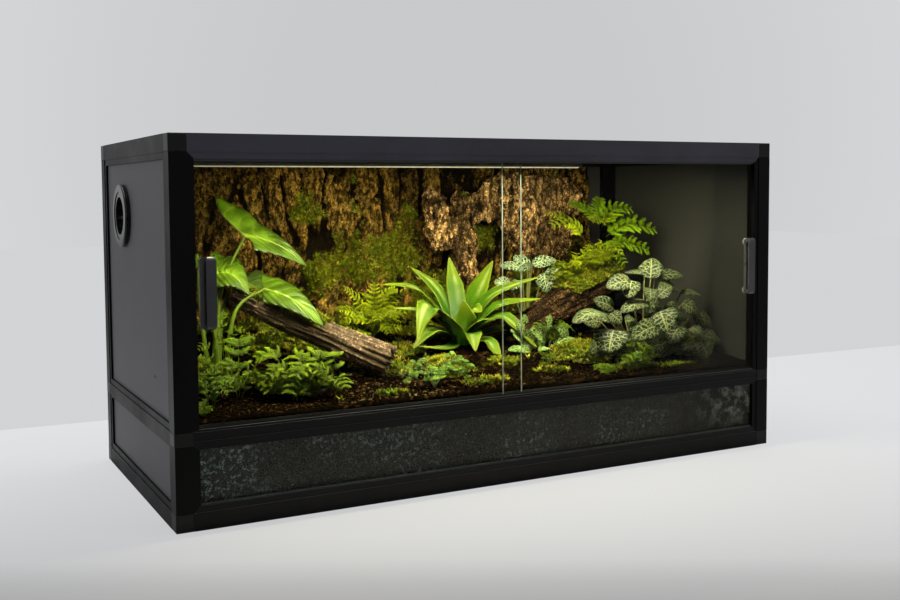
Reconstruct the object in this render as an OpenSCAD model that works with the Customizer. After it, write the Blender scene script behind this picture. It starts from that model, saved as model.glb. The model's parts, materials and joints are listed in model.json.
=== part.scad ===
// Front-opening planted terrarium: a hollow snap-together frame of square-tube rails and
// posts with mitred panel lips, moulded corner and tee connectors, recessed side and back
// panels, two overlapping glass panes that slide in a double track, a round side vent with
// a turning shutter, a light bar under the lid, and a planted landscape inside.
//
// Everything is drawn from the cabinet's bottom front left corner (x to the right, y to the
// back, z up) and moved at the end, so that the origin is the middle of the footprint.

/* [Cabinet] */
// Width over the corner connectors
cabinet_w = 1200; // [1150:10:1400]
// Depth over the corner connectors
cabinet_d = 536; // [520:2:640]
// Height
cabinet_h = 608; // [580:2:680]
// Height of the underside of the middle rails
sill_z = 132; // [120:1:136]

/* [Frame profile] */
// Outer size of the square tube
tube = 28; // [26:0.5:30]
// Wall of the tube
tube_wall = 2.2; // [1.8:0.1:3]
// How far a panel lip stands out from the tube
lip_w = 10.5; // [9:0.5:13]
// Thickness of a panel lip, with the step in front of it
lip_t = 5; // [4:0.25:5.5]
// How far the outer lips lie behind the face of the tube
lip_step = 1.2; // [0.4:0.1:2]
// Thickness of the inner fin that closes the panel groove
fin_t = 1.6; // [1.2:0.1:2]
// Height of the inner fin
fin_w = 8; // [6:0.5:9]
// Height of the middle rails
mid_h = 21; // [18:0.5:24]
// Lip of the front middle rail below its tube
sill_lip_down = 6.5; // [4:0.5:8]
// Lip of the front middle rail above its tube
sill_lip_up = 3.5; // [2:0.5:4]
// Lip of the side and back middle rails below their tube
side_lip_down = 4; // [3:0.5:6]
// Height of the shadow groove along the front middle rail
shadow_h = 6.8; // [3:0.2:8]
// Depth of the shadow groove
shadow_d = 1.2; // [0.6:0.1:1.4]

/* [Connectors] */
// How far the connectors stand proud of the rails at the sides
proud = 0.4; // [0.2:0.1:0.8]
// Length of a spigot inside its tube
spigot_len = 38; // [25:1:45]
// Clearance around a spigot
spigot_gap = 0.15; // [0.1:0.05:0.3]
// Rounding of the connectors' outer edges
edge_r = 1.6; // [0.8:0.1:3]
// Half of the gap in a mitre between two lips
mitre_gap = 0.1; // [0.05:0.05:0.2]

/* [Panels and glass] */
// Thickness of the opaque panels
panel_t = 4; // [3:0.5:5]
// Thickness of the fixed window and of the sliding panes
glass_t = 4; // [3:0.5:5]
// Clearance on each face of a panel in its groove
groove_gap = 0.1; // [0.05:0.05:0.2]
// How far a panel reaches behind a lip
bite = 8; // [6:0.5:8.5]

/* [Sliding doors] */
// Overlap of the two panes when shut
door_overlap = 43; // [30:1:80]
// Where the middle of the overlap lies, from the middle of the cabinet
meet_shift = 4.5; // [-10:0.25:10]
// Travel of each pane
door_travel = 250; // [100:10:250]
// Wall of the door tracks
track_wall = 2; // [1.6:0.1:2.4]
// Clearance on each face of a pane in its track
track_gap = 0.4; // [0.3:0.05:0.6]
// Floor of the lower track
track_floor = 1.6; // [1.2:0.1:2]
// Height of the lower track
low_track_h = 6; // [5:0.5:8]
// Height of the upper track
high_track_h = 14; // [12:0.5:16]
// Room above a pane, so that it can be lifted out
lift_room = 6.4; // [5.5:0.1:7]
// Side play of a shut pane beside the post
jamb_play = 1.6; // [1:0.1:3]

/* [Handles] */
// Length of a handle
handle_h = 112; // [90:1:140]
// Width of a handle's front bar
handle_w = 16; // [12:0.5:20]
// How far a handle's back bar reaches past its front bar towards the post
handle_wing = 8; // [4:0.5:8]
// Rounding of a handle's corners in the front view
handle_r = 7; // [3:0.5:7.5]
// Depth of a handle without its pads
handle_d = 15; // [12:0.5:18]
// Thickness of the bar in front of the finger slot
handle_bar = 3; // [2.5:0.25:4]
// Depth of the finger slot
handle_slot = 5; // [4.5:0.25:6]
// Thickness of the clear mounting pads
pad_t = 5; // [3:0.5:6]
// Diameter of the clear mounting pads
pad_d = 14; // [10:0.5:14]
// Distance from the outer edge of a shut pane to its handle
handle_inset = 20.5; // [15:0.5:40]
// How far both handles are moved to the right
handle_shift = 2.5; // [-5:0.5:5]
// How far the middle of the handles lies below the middle of the doorway
handle_drop = 2; // [-30:0.5:30]

/* [Side vent] */
// Distance of the vent's centre from the back
vent_back = 179; // [140:1:220]
// Distance of the vent's centre from the top
vent_drop = 130.5; // [110:0.5:180]
// Diameter of the vent's flange
vent_d = 111; // [100:1:118]
// Thickness of the flange
vent_t = 9.5; // [7:0.5:12]
// Diameter of the vent's mouth
mouth_d = 67; // [60:1:70]
// Wall of the throat
throat_wall = 4; // [3:0.5:5]
// Clearance between the throat and the hole in the panel
throat_gap = 0.3; // [0.1:0.1:0.6]
// Number of slots in the grille and in the shutter
vent_slots = 8; // [6:1:10]

/* [Light bar] */
// Length of the light bar
light_len = 730; // [600:10:1000]
// Width of the light bar
light_w = 22; // [18:1:26]
// Height of the housing
light_h = 16.5; // [14:0.5:20]
// Distance from the left side to the light bar
light_x = 36; // [32:1:60]
// Wall of the housing
light_wall = 1.5; // [1.2:0.1:2]
// How far the lens stands below the housing
lens_drop = 5.5; // [3:0.5:7]

/* [Planting] */
// Height of the soil behind the front rail
soil_front_z = 166; // [160:1:172]
// Height of the soil at the back
soil_back_z = 238; // [220:1:250]
// Clearance between the planting and its neighbours
soft_gap = 0.3; // [0.2:0.1:0.5]
// Thickness of the bark wall
bark_t = 34; // [24:1:40]
// Width of the bare strip at the right of the bark wall
bark_bare = 96; // [60:1:160]
// Thickness of the forked trunk
trunk_t = 38; // [24:1:44]
// Radius of the right log at its thick end
log_right_big = 58; // [44:1:62]
// Radius of the right log at its thin end
log_right_small = 25; // [18:1:34]
// Radius of the left log at its foot
log_left_big = 35; // [26:1:40]
// Radius of the left log at its far end
log_left_small = 25; // [16:1:30]
// Length of the bromeliad's outer leaves
strap_len = 176; // [120:2:190]
// Width of the bromeliad's leaves
strap_w = 34; // [24:1:40]
// Height of the arrow-leaved plant
arrow_h = 270; // [200:5:290]
// Half width of the large veined plant
bush_w = 112; // [80:2:116]
// Height of the large veined plant
bush_h = 186; // [120:2:200]
// Half width of the small veined plant
sprig_w = 64; // [40:2:70]
// Height of the small veined plant
sprig_h = 138; // [90:2:150]
// Length of the larger ferns' fronds
frond_len = 106; // [70:2:110]
// Length of the front ferns' fronds
small_frond_len = 66; // [40:2:72]
// Half width of the creeping plant
creeper_w = 42; // [24:2:50]

/* [Hidden] */
$fn = 64;

// Edge of the connectors, where every tube starts
conn = tube + proud;
// Outer face and inner face of a lip
lip_at = proud + lip_step;
lip_in = proud + lip_t;
// Outer face and inner face of a panel behind a side or back lip
panel_out = lip_in + groove_gap;
panel_in = panel_out + panel_t;
// Start of the inner fins
fin_at = panel_in + groove_gap;
glass_fin_at = lip_in + 2 * groove_gap + glass_t;
// Where a panel's edge lies, from the outside of the cabinet
panel_edge = conn + lip_w - bite;
sill_top = sill_z + mid_h;
top_z = cabinet_h - tube;

// Door planes, from the front
track_y0 = lip_in + 2 * groove_gap;
slot_w = glass_t + 2 * track_gap;
front_pane_y = track_y0 + track_wall + track_gap;
rear_pane_y = front_pane_y + glass_t + 2 * track_gap + track_wall + 1.2;
mid_wall = rear_pane_y - track_gap - (front_pane_y + glass_t + track_gap);
track_d = 2 * track_wall + mid_wall + 2 * slot_w;
jamb_at = track_y0 + track_d + 0.8;
pane_bottom = sill_top + track_floor + 0.2;
pane_top = top_z - track_floor - lift_room;
pane_start = conn + jamb_play;
pane_w = cabinet_w / 2 + door_overlap / 2 - pane_start;
pane_h = pane_top - pane_bottom;
handle_z = (sill_top + top_z) / 2 - handle_drop;
left_handle_x = pane_start + handle_inset + handle_shift;
right_handle_x = cabinet_w - pane_start - handle_inset - handle_w + handle_shift;

// Vent, measured outwards from the outer face of the left panel
vent_y = cabinet_d - vent_back;
vent_z = cabinet_h - vent_drop;
throat_r = mouth_d / 2 + throat_wall;
hole_r = throat_r + throat_gap;
nut_t = 8;
throat_in = panel_t + nut_t + 2;
ledge = 2;
grille_t = 2.5;
shutter_t = 2;
grille_z = -throat_in + ledge;
shutter_z = grille_z + grille_t + 0.3;
pin_r = 3;
bore_gap = 0.06;
boss_h = 5.5;
cap_t = 1.6;
slot_angle = 180 / vent_slots - 3;

light_y = conn + 1.6;
light_top = top_z;
light_bottom = light_top - light_h;
light_cap = 3;
clip_t = 1.6;

soil_x0 = panel_in + 2 * groove_gap + fin_t + soft_gap;
soil_y0 = conn + soft_gap;
soil_y1 = cabinet_d - conn - soft_gap;

// ---------------------------------------------------------------- placing

module placed() {
    translate([-cabinet_w / 2, -cabinet_d / 2, 0]) children();
}

module to_back() {
    translate([0, cabinet_d, 0]) mirror([0, 1, 0]) children();
}

module to_right() {
    translate([cabinet_w, 0, 0]) mirror([1, 0, 0]) children();
}

module to_top() {
    translate([0, 0, cabinet_h]) mirror([0, 0, 1]) children();
}

// A rail that runs to the back instead of to the right
module turned() {
    mirror([1, -1, 0]) children();
}

// A rail that stands up as a post
module upright() {
    mirror([1, 0, -1]) children();
}

// The same thing at all four corners of the footprint
module four_corners() {
    children();
    to_right() children();
    to_back() children();
    to_back() to_right() children();
}

// ---------------------------------------------------------------- frame profile

// A strip of height h from a to b, with mitred ends that meet neighbours i0 and i1 high
module strip_outline(a, b, h, i0, i1) {
    g = mitre_gap;
    polygon([[a, -1], [b, -1], [b, 0], [b - g, 0], [b - i1 - g, h], [a + i0 + g, h],
        [a + g, 0], [a, 0]]);
}

// Standing strip in the front face: starts y0 deep, t thick, from height z0 upwards
module strip_up(a, b, y0, t, z0, h, i0, i1) {
    translate([0, y0 + t, z0]) rotate([90, 0, 0]) linear_extrude(t)
        strip_outline(a, b, h, i0, i1);
}

// The same strip hanging down
module strip_down(a, b, y0, t, z0, h, i0, i1) {
    translate([0, 0, 2 * z0]) mirror([0, 0, 1]) strip_up(a, b, y0, t, z0, h, i0, i1);
}

// Lying strip: starts z0 high, t thick, from depth y0 backwards
module strip_back(a, b, z0, t, y0, h, i0, i1) {
    translate([0, y0, z0]) linear_extrude(t) strip_outline(a, b, h, i0, i1);
}

// Square tube from a to b with its outer corner at [oy, oz]
module tube_body(a, b, oy, oz, ty, tz) {
    difference() {
        translate([a, oy, oz]) cube([b - a, ty, tz]);
        translate([a - 1, oy + tube_wall, oz + tube_wall])
            cube([b - a + 2, ty - 2 * tube_wall, tz - 2 * tube_wall]);
    }
}

// Rail with a lip in its front face and one in its bottom face, each with a fin behind it
module edge_rail(len, front_fin = true) {
    a = conn;
    b = len - conn;
    tube_body(a, b, proud, 0, tube, tube);
    strip_up(a, b, lip_at, lip_in - lip_at, tube, lip_w, lip_w, lip_w);
    strip_back(a, b, 0, lip_t, conn, lip_w, lip_w, lip_w);
    strip_back(a, b, lip_t + 2 * groove_gap + panel_t, fin_t, conn, fin_w, fin_w, fin_w);
    if (front_fin)
        strip_up(a, b, fin_at, fin_t, tube, fin_w, fin_w, fin_w);
}

// Post between two heights. down and up are the lips that it meets there, and fins the
// distance of its front fin from the front
module post(a, b, front_fin_at, i0, i1, side_i1, side_i0) {
    upright() {
        tube_body(a, b, proud, proud, tube, tube);
        strip_up(a, b, lip_at, lip_in - lip_at, conn, lip_w, i0, i1);
        strip_up(a, b, front_fin_at, fin_t, conn, fin_w, min(i0, fin_w), min(i1, fin_w));
        strip_back(a, b, lip_at, lip_in - lip_at, conn, lip_w, side_i0, side_i1);
        strip_back(a, b, fin_at, fin_t, conn, fin_w, min(side_i0, fin_w), min(side_i1, fin_w));
    }
}

module lower_post() {
    post(tube, sill_z, glass_fin_at, lip_w, sill_lip_down, side_lip_down, lip_w);
}

module lower_post_back() {
    post(tube, sill_z, fin_at, lip_w, side_lip_down, side_lip_down, lip_w);
}

module upper_post_front() {
    post(sill_top, top_z, jamb_at, sill_lip_up, lip_w, lip_w, lip_w);
}

module upper_post_rear() {
    post(sill_top, top_z, fin_at, lip_w, lip_w, lip_w, lip_w);
}

// Middle rail: tube with a lip up and a lip down in its outer face
module mid_rail(len, down, up, fin_down_at, fin_up, shadow) {
    a = conn;
    b = len - conn;
    difference() {
        tube_body(a, b, proud, sill_z, tube, mid_h);
        if (shadow > 0)
            translate([a - 1, proud - 1, sill_z + down]) cube([b - a + 2, 1 + shadow_d, shadow]);
    }
    strip_up(a, b, lip_at, lip_in - lip_at, sill_top, up, lip_w, lip_w);
    strip_down(a, b, lip_at, lip_in - lip_at, sill_z, down, lip_w, lip_w);
    strip_down(a, b, fin_down_at, fin_t, sill_z, down - 1, fin_w, fin_w);
    if (fin_up)
        strip_up(a, b, fin_at, fin_t, sill_top, fin_w, fin_w, fin_w);
}

// ---------------------------------------------------------------- connectors

module rounded_square(w, h, r) {
    translate([r, 0]) square([w - 2 * r, h]);
    translate([0, r]) square([w, h - 2 * r]);
    for (x = [r, w - r], y = [r, h - r])
        translate([x, y]) circle(r);
}

// Block whose outer edges are rounded
module soft_block(x, y, z) {
    intersection() {
        linear_extrude(z) rounded_square(x, y, edge_r);
        translate([0, y, 0]) rotate([90, 0, 0]) linear_extrude(y) rounded_square(x, z, edge_r);
        rotate([90, 0, 90]) linear_extrude(x) rounded_square(y, z, edge_r);
    }
}

// Ribbed spigot along +z that plugs into a tube of outer size tx by ty
module spigot(tx, ty) {
    w = tx - 2 * tube_wall - 2 * spigot_gap;
    h = ty - 2 * tube_wall - 2 * spigot_gap;
    core = 8;
    rib = 2.4;
    relief = (w - 3 * rib) / 2;
    difference() {
        translate([-w / 2, -h / 2, -1]) cube([w, h, spigot_len + 1]);
        for (x = [-rib / 2 - relief, rib / 2], y = [-core / 2 - h, core / 2])
            translate([x, y, 4]) cube([relief, h, spigot_len]);
    }
}

module corner_connector() {
    soft_block(conn, conn, tube);
    // spigots of the rail to the right, of the rail to the back and of the post
    translate([conn, proud + tube / 2, tube / 2]) rotate([90, 0, 90]) spigot(tube, tube);
    translate([proud + tube / 2, conn, tube / 2]) rotate([-90, 0, 0]) spigot(tube, tube);
    translate([proud + tube / 2, proud + tube / 2, tube]) spigot(tube, tube);
}

module tee_connector() {
    mid = sill_z + mid_h / 2;
    translate([0, 0, sill_z]) soft_block(conn, conn, mid_h);
    translate([conn, proud + tube / 2, mid]) rotate([90, 0, 90]) spigot(tube, mid_h);
    translate([proud + tube / 2, conn, mid]) rotate([-90, 0, 0]) spigot(tube, mid_h);
    translate([proud + tube / 2, proud + tube / 2, sill_top]) spigot(tube, tube);
    translate([proud + tube / 2, proud + tube / 2, sill_z]) mirror([0, 0, 1]) spigot(tube, tube);
}

// ---------------------------------------------------------------- rails and posts

frame_black = [0.07, 0.07, 0.08];

module bottom_rail_front() { color(frame_black) placed() edge_rail(cabinet_w); }
module bottom_rail_back() { color(frame_black) placed() to_back() edge_rail(cabinet_w); }
module bottom_rail_left() { color(frame_black) placed() turned() edge_rail(cabinet_d); }
module bottom_rail_right() {
    color(frame_black) placed() to_right() turned() edge_rail(cabinet_d);
}

module top_rail_front() { color(frame_black) placed() to_top() edge_rail(cabinet_w, false); }
module top_rail_back() { color(frame_black) placed() to_top() to_back() edge_rail(cabinet_w); }
module top_rail_left() { color(frame_black) placed() to_top() turned() edge_rail(cabinet_d); }
module top_rail_right() {
    color(frame_black) placed() to_top() to_right() turned() edge_rail(cabinet_d);
}

module mid_rail_front() {
    color(frame_black) placed()
        mid_rail(cabinet_w, sill_lip_down, sill_lip_up, glass_fin_at, false, shadow_h);
}

module side_mid_rail(len) { mid_rail(len, side_lip_down, lip_w, fin_at, true, 0); }

module mid_rail_back() { color(frame_black) placed() to_back() side_mid_rail(cabinet_w); }
module mid_rail_left() { color(frame_black) placed() turned() side_mid_rail(cabinet_d); }
module mid_rail_right() {
    color(frame_black) placed() to_right() turned() side_mid_rail(cabinet_d);
}

module lower_posts() {
    color(frame_black) placed() {
        lower_post();
        to_right() lower_post();
        to_back() lower_post_back();
        to_back() to_right() lower_post_back();
    }
}

module upper_post_front_left() { color(frame_black) placed() upper_post_front(); }
module upper_post_front_right() { color(frame_black) placed() to_right() upper_post_front(); }

module upper_posts_back() {
    color(frame_black) placed() {
        to_back() upper_post_rear();
        to_back() to_right() upper_post_rear();
    }
}

module bottom_corners() { color([0.1, 0.1, 0.11]) placed() four_corners() corner_connector(); }

module top_corners() {
    color([0.1, 0.1, 0.11]) placed() four_corners() to_top() corner_connector();
}

module tee_connectors() { color([0.1, 0.1, 0.11]) placed() four_corners() tee_connector(); }

// ---------------------------------------------------------------- panels

panel_grey = [0.2, 0.2, 0.22];

// Flat sheet seen from the side: from y0 to y1 and from z0 to z1
module side_sheet(z0, z1) {
    translate([panel_out, panel_edge, z0])
        cube([panel_t, cabinet_d - 2 * panel_edge, z1 - z0]);
}

module back_sheet(z0, z1) {
    translate([panel_edge, cabinet_d - panel_in, z0])
        cube([cabinet_w - 2 * panel_edge, panel_t, z1 - z0]);
}

module flat_sheet(z0) {
    translate([panel_edge, panel_edge, z0])
        cube([cabinet_w - 2 * panel_edge, cabinet_d - 2 * panel_edge, panel_t]);
}

upper_z0 = sill_top + lip_w - bite;
upper_z1 = top_z - (lip_w - bite);
lower_z0 = tube + lip_w - bite;
lower_z1 = sill_z - 0.3;

module floor_panel() { color([0.1, 0.1, 0.1]) placed() flat_sheet(lip_t + groove_gap); }
module lid_panel() {
    color([0.12, 0.12, 0.13]) placed() flat_sheet(cabinet_h - lip_t - groove_gap - panel_t);
}

module back_panel_upper() {
    color(panel_grey) placed() difference() {
        back_sheet(upper_z0, upper_z1);
        translate([grommet_x, cabinet_d - panel_in - 1, grommet_z]) rotate([-90, 0, 0])
            cylinder(h = panel_t + 2, r = grommet_r);
    }
}

module back_panel_lower() { color(panel_grey) placed() back_sheet(lower_z0, lower_z1); }

module left_panel_upper() {
    color([0.36, 0.36, 0.37]) placed() difference() {
        side_sheet(upper_z0, upper_z1);
        translate([panel_out - 1, vent_y, vent_z]) rotate([0, 90, 0])
            cylinder(h = panel_t + 2, r = hole_r);
    }
}

module left_panel_lower() { color([0.36, 0.36, 0.37]) placed() side_sheet(lower_z0, lower_z1); }
module right_panel_upper() {
    color(panel_grey) placed() to_right() side_sheet(upper_z0, upper_z1);
}
module right_panel_lower() {
    color(panel_grey) placed() to_right() side_sheet(lower_z0, lower_z1);
}

module front_window() {
    color([0.7, 0.8, 0.78, 0.35]) placed()
        translate([panel_edge, lip_in + groove_gap, lower_z0])
            cube([cabinet_w - 2 * panel_edge, glass_t, lower_z1 - lower_z0]);
}

// ---------------------------------------------------------------- doors

// Double track that opens upwards: a floor with three walls
module track(h) {
    difference() {
        cube([cabinet_w - 2 * conn - 0.6, track_d, h]);
        for (y = [track_wall, track_wall + slot_w + mid_wall])
            translate([-1, y, track_floor]) cube([cabinet_w, slot_w, h]);
    }
}

module low_track() {
    color([0.16, 0.16, 0.17]) placed() translate([conn + 0.3, track_y0, sill_top])
        track(low_track_h);
}

module high_track() {
    color([0.16, 0.16, 0.17]) placed() translate([conn + 0.3, track_y0, top_z])
        mirror([0, 0, 1]) track(high_track_h);
}

// Pane at depth y whose overlapping edge is moved to the right by shift
module pane(y, shift) {
    translate([pane_start, y, pane_bottom]) cube([pane_w + shift, glass_t, pane_h]);
}

module left_pane() { color([0.7, 0.82, 0.78, 0.35]) placed() pane(rear_pane_y, meet_shift); }
module right_pane() {
    color([0.7, 0.82, 0.78, 0.35]) placed() to_right() pane(front_pane_y, -meet_shift);
}

// Loop handle seen from its side: a thick back, a finger slot and a slim front bar
module handle_outline() {
    r = handle_d / 2 - 1;
    slot_r = handle_slot / 2;
    end = 9;
    difference() {
        rounded_square(handle_d, handle_h, r);
        for (z = [end + slot_r, handle_h - end - slot_r])
            translate([handle_bar + slot_r, z]) circle(slot_r);
        translate([handle_bar, end + slot_r])
            square([handle_slot, handle_h - 2 * end - 2 * slot_r]);
    }
}

// Front view of a handle from x to x + w, carried backwards from depth y
module handle_front(x, w, y) {
    translate([x, y + handle_d + 2, 0]) rotate([90, 0, 0]) linear_extrude(handle_d + 2)
        rounded_square(w, handle_h, handle_r);
}

// Left-hand handle, its front bar at x and its pads on glass that starts at depth y
module handle(x, y) {
    y0 = y - pad_t - handle_d;
    wide = handle_w + handle_wing;
    back = y0 + handle_bar + handle_slot;
    translate([0, 0, handle_z - handle_h / 2]) intersection() {
        translate([x - handle_wing, y0, 0]) rotate([90, 0, 90])
            linear_extrude(wide) handle_outline();
        union() {
            handle_front(x, handle_w, y0 - 1);
            handle_front(x - handle_wing, wide, back);
        }
    }
}

module handle_pads(x, y) {
    for (z = [-1, 1])
        translate([x + handle_w / 2, y, handle_z + z * (handle_h / 2 - pad_d / 2 - 1)])
            rotate([90, 0, 0]) cylinder(h = pad_t, d = pad_d);
}

module left_handle() { color([0.13, 0.13, 0.15]) placed() handle(left_handle_x, rear_pane_y); }
module right_handle() {
    color([0.13, 0.13, 0.15]) placed() translate([2 * right_handle_x + handle_w, 0, 0])
        mirror([1, 0, 0]) handle(right_handle_x, front_pane_y);
}
module left_handle_pads() {
    color([0.9, 0.9, 0.86]) placed() handle_pads(left_handle_x, rear_pane_y);
}
module right_handle_pads() {
    color([0.9, 0.9, 0.86]) placed() handle_pads(right_handle_x, front_pane_y);
}

// ---------------------------------------------------------------- side vent

// Vent parts are turned about +z, which points out of the left side
module at_vent() {
    placed() translate([panel_out, vent_y, vent_z]) rotate([0, -90, 0]) children();
}

// Ring between two radii and two heights
module ring(r0, r1, z0, z1) {
    rotate_extrude() translate([r0, z0]) square([r1 - r0, z1 - z0]);
}

// Slots between two radii, as sectors of a ring
module sector_slots(r0, r1, z0, h) {
    reach = r1 + 4;
    for (i = [0:vent_slots - 1])
        rotate(i * 360 / vent_slots) translate([0, 0, z0]) linear_extrude(h)
            intersection() {
                difference() {
                    circle(r1);
                    circle(r0);
                }
                polygon([[0, 0], [reach, -reach * tan(slot_angle / 2)],
                    [reach, reach * tan(slot_angle / 2)]]);
            }
}

module vent_flange() {
    rim = 3;
    mr = mouth_d / 2;
    step_r = mr + 9;
    color([0.08, 0.08, 0.09]) at_vent() {
        rotate_extrude() {
            // flat body, raised rim and rounded outer edge
            translate([mr, 0]) square([vent_d / 2 - rim - mr, vent_t - 1.2]);
            translate([step_r, 0]) square([vent_d / 2 - rim - step_r, vent_t]);
            translate([vent_d / 2 - rim, 0]) square([rim, vent_t - rim]);
            translate([vent_d / 2 - rim, vent_t - rim]) intersection() {
                circle(rim);
                square(rim);
            }
        }
        ring(mr, throat_r, -throat_in, 0.5);
        ring(mr - ledge, mr + 1, -throat_in, -throat_in + ledge);
    }
}

module vent_nut() {
    grips = 12;
    nut_r = throat_r + 13;
    color([0.08, 0.08, 0.09]) at_vent() difference() {
        ring(hole_r, nut_r, -panel_t - nut_t, -panel_t);
        for (i = [0:grips - 1])
            rotate(i * 360 / grips) translate([nut_r + 2, 0, -panel_t - nut_t - 1])
                cylinder(h = nut_t + 2, r = 5);
    }
}

module vent_grille() {
    color([0.1, 0.1, 0.11]) at_vent() {
        difference() {
            translate([0, 0, grille_z]) cylinder(h = grille_t, r = mouth_d / 2 - 0.2);
            sector_slots(9, mouth_d / 2 - 5, grille_z - 1, grille_t + 2);
        }
        translate([0, 0, grille_z + 1]) cylinder(h = shutter_z - grille_z - 1 + boss_h + 0.3,
            r = pin_r);
    }
}

module vent_shutter() {
    color([0.14, 0.14, 0.15]) at_vent() difference() {
        union() {
            translate([0, 0, shutter_z]) cylinder(h = shutter_t, r = mouth_d / 2 - 0.8);
            translate([0, 0, shutter_z]) cylinder(h = boss_h, r = pin_r + 3);
            // finger tab
            rotate(180 / vent_slots)
                translate([11, -1.5, shutter_z + 1]) cube([14, 3, shutter_t + 6]);
        }
        sector_slots(9, mouth_d / 2 - 5, shutter_z - 1, shutter_t + 2);
        translate([0, 0, shutter_z - 1]) cylinder(h = boss_h + 2, r = pin_r + bore_gap);
    }
}

module vent_cap() {
    color([0.1, 0.1, 0.11]) at_vent()
        translate([0, 0, shutter_z + boss_h + 0.3]) cylinder(h = cap_t, r = pin_r + 2);
}

// ---------------------------------------------------------------- light bar

// Profile of the housing: a channel that opens downwards, seen along x
module light_channel() {
    difference() {
        translate([0, 0]) square([light_w, light_h]);
        translate([light_wall, -1]) square([light_w - 2 * light_wall, light_h - light_wall + 1]);
    }
}

// Profile of the lens: a flat back in the mouth of the channel and a bowed front
module lens_outline() {
    w = light_w - 2 * light_wall - 0.4;
    r = (w * w / 4 + lens_drop * lens_drop) / (2 * lens_drop);
    translate([-w / 2, 0]) square([w, 2.5]);
    intersection() {
        translate([0, r - lens_drop]) circle(r);
        translate([-w / 2, -lens_drop]) square([w, lens_drop + 0.5]);
    }
}

module light_housing() {
    color([0.1, 0.1, 0.1]) placed()
        translate([light_x + light_cap, light_y, light_bottom]) rotate([90, 0, 90])
            linear_extrude(light_len - 2 * light_cap) light_channel();
}

module light_lens() {
    color([1, 0.97, 0.86]) placed()
        translate([light_x + light_cap + 0.2, light_y + light_w / 2, light_bottom])
            rotate([90, 0, 90]) linear_extrude(light_len - 2 * light_cap - 0.4) lens_outline();
}

module light_end_cap() {
    translate([light_x, light_y, light_bottom - lens_drop])
        rotate([90, 0, 90]) linear_extrude(light_cap)
            rounded_square(light_w, light_h + lens_drop, 2);
}

module light_end_caps() {
    color([0.08, 0.08, 0.08]) placed() {
        light_end_cap();
        translate([light_len - light_cap, 0, 0]) light_end_cap();
    }
}

// Angle clips that carry the light bar on the back of the front top rail
module light_clips() {
    clip_w = 24;
    color([0.6, 0.6, 0.62]) placed()
        for (x = [light_x + light_len * 0.16, light_x + light_len * 0.84])
            translate([x - clip_w / 2, conn, light_top]) {
                cube([clip_w, clip_t, 15]);
                cube([clip_w, light_w + clip_t, clip_t]);
            }
}

grommet_x = 70;
grommet_z = cabinet_h - 62;
grommet_r = 11;

module cable_grommet() {
    lip = 4;
    color([0.05, 0.05, 0.05]) placed()
        translate([grommet_x, cabinet_d - panel_in, grommet_z]) rotate([-90, 0, 0])
            rotate_extrude() {
                translate([grommet_r - 3.2, 0]) square([3, panel_t]);
                translate([grommet_r - 3.2, panel_t]) square([3.2 + lip, 1.8]);
                translate([grommet_r - 3.2, -1.8]) square([3.2 + lip, 1.8]);
            }
}

// ---------------------------------------------------------------- planting helpers

// Height of the soil at depth y: a level strip, a slope and a level bed at the back
slope_y0 = 0.224 * cabinet_d;
slope_y1 = 0.802 * cabinet_d;

function ground(y) = lookup(y, [[0, soil_front_z], [slope_y0, soil_front_z + 2],
    [slope_y1, soil_back_z - 4], [soil_y1, soil_back_z]]);

function run(v) = sqrt(v[0] * v[0] + v[1] * v[1]);

// Spots are shares of the cabinet's width and depth
function spot(u, v) = [u * cabinet_w, v * cabinet_d, 0];

// Where a foot that reaches r up the slope stands on the soil
function seat(u, v, r) = spot(u, v) + [0, 0, ground(v * cabinet_d + r) + soft_gap];

// Turns +x towards v
module aim_x(v) { rotate([0, -atan2(v[2], run(v)), atan2(v[1], v[0])]) children(); }

// Tapered round stick from p to q
module stick(p, q, r0, r1) {
    v = q - p;
    translate(p) rotate([0, 90 - atan2(v[2], run(v)), atan2(v[1], v[0])])
        cylinder(h = norm(v), r1 = r0, r2 = r1, $fn = 32);
}

// Square stalk from p to q
module stalk(p, q, w) {
    v = q - p;
    translate(p) aim_x(v) translate([-w / 3, -w / 2, -w / 2]) cube([norm(v) + w / 2, w, w]);
}

// Outline of a leaf along +x that is widest near its foot; notch cuts the foot like an arrow
function leaf_side(len, w, notch) = [for (i = [1:6])
    [len * (pow(i / 7, 1.15) * (1 + notch) - notch), w / 2 * sin(180 * pow(i / 7, 0.75))]];

module leaf_outline(len, w, notch = 0) {
    side = leaf_side(len, w, notch);
    polygon(concat([[0, 0]], side, [[len, 0]], [for (i = [5:-1:0]) [side[i][0], -side[i][1]]]));
}

// Flat leaf from p to q, rolled about its own midrib
module leaf(p, q, w, roll = 0, notch = 0, t = 1.8) {
    v = q - p;
    translate(p) aim_x(v) rotate([roll, 0, 0]) translate([0, 0, -t / 2])
        linear_extrude(t) leaf_outline(norm(v), w, notch);
}

// Leaf on a stalk that starts at the base
module stalked_leaf(base, p, q, w, roll, notch, r) {
    stalk(base, p, r);
    leaf(p, q, w, roll, notch);
}

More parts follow.
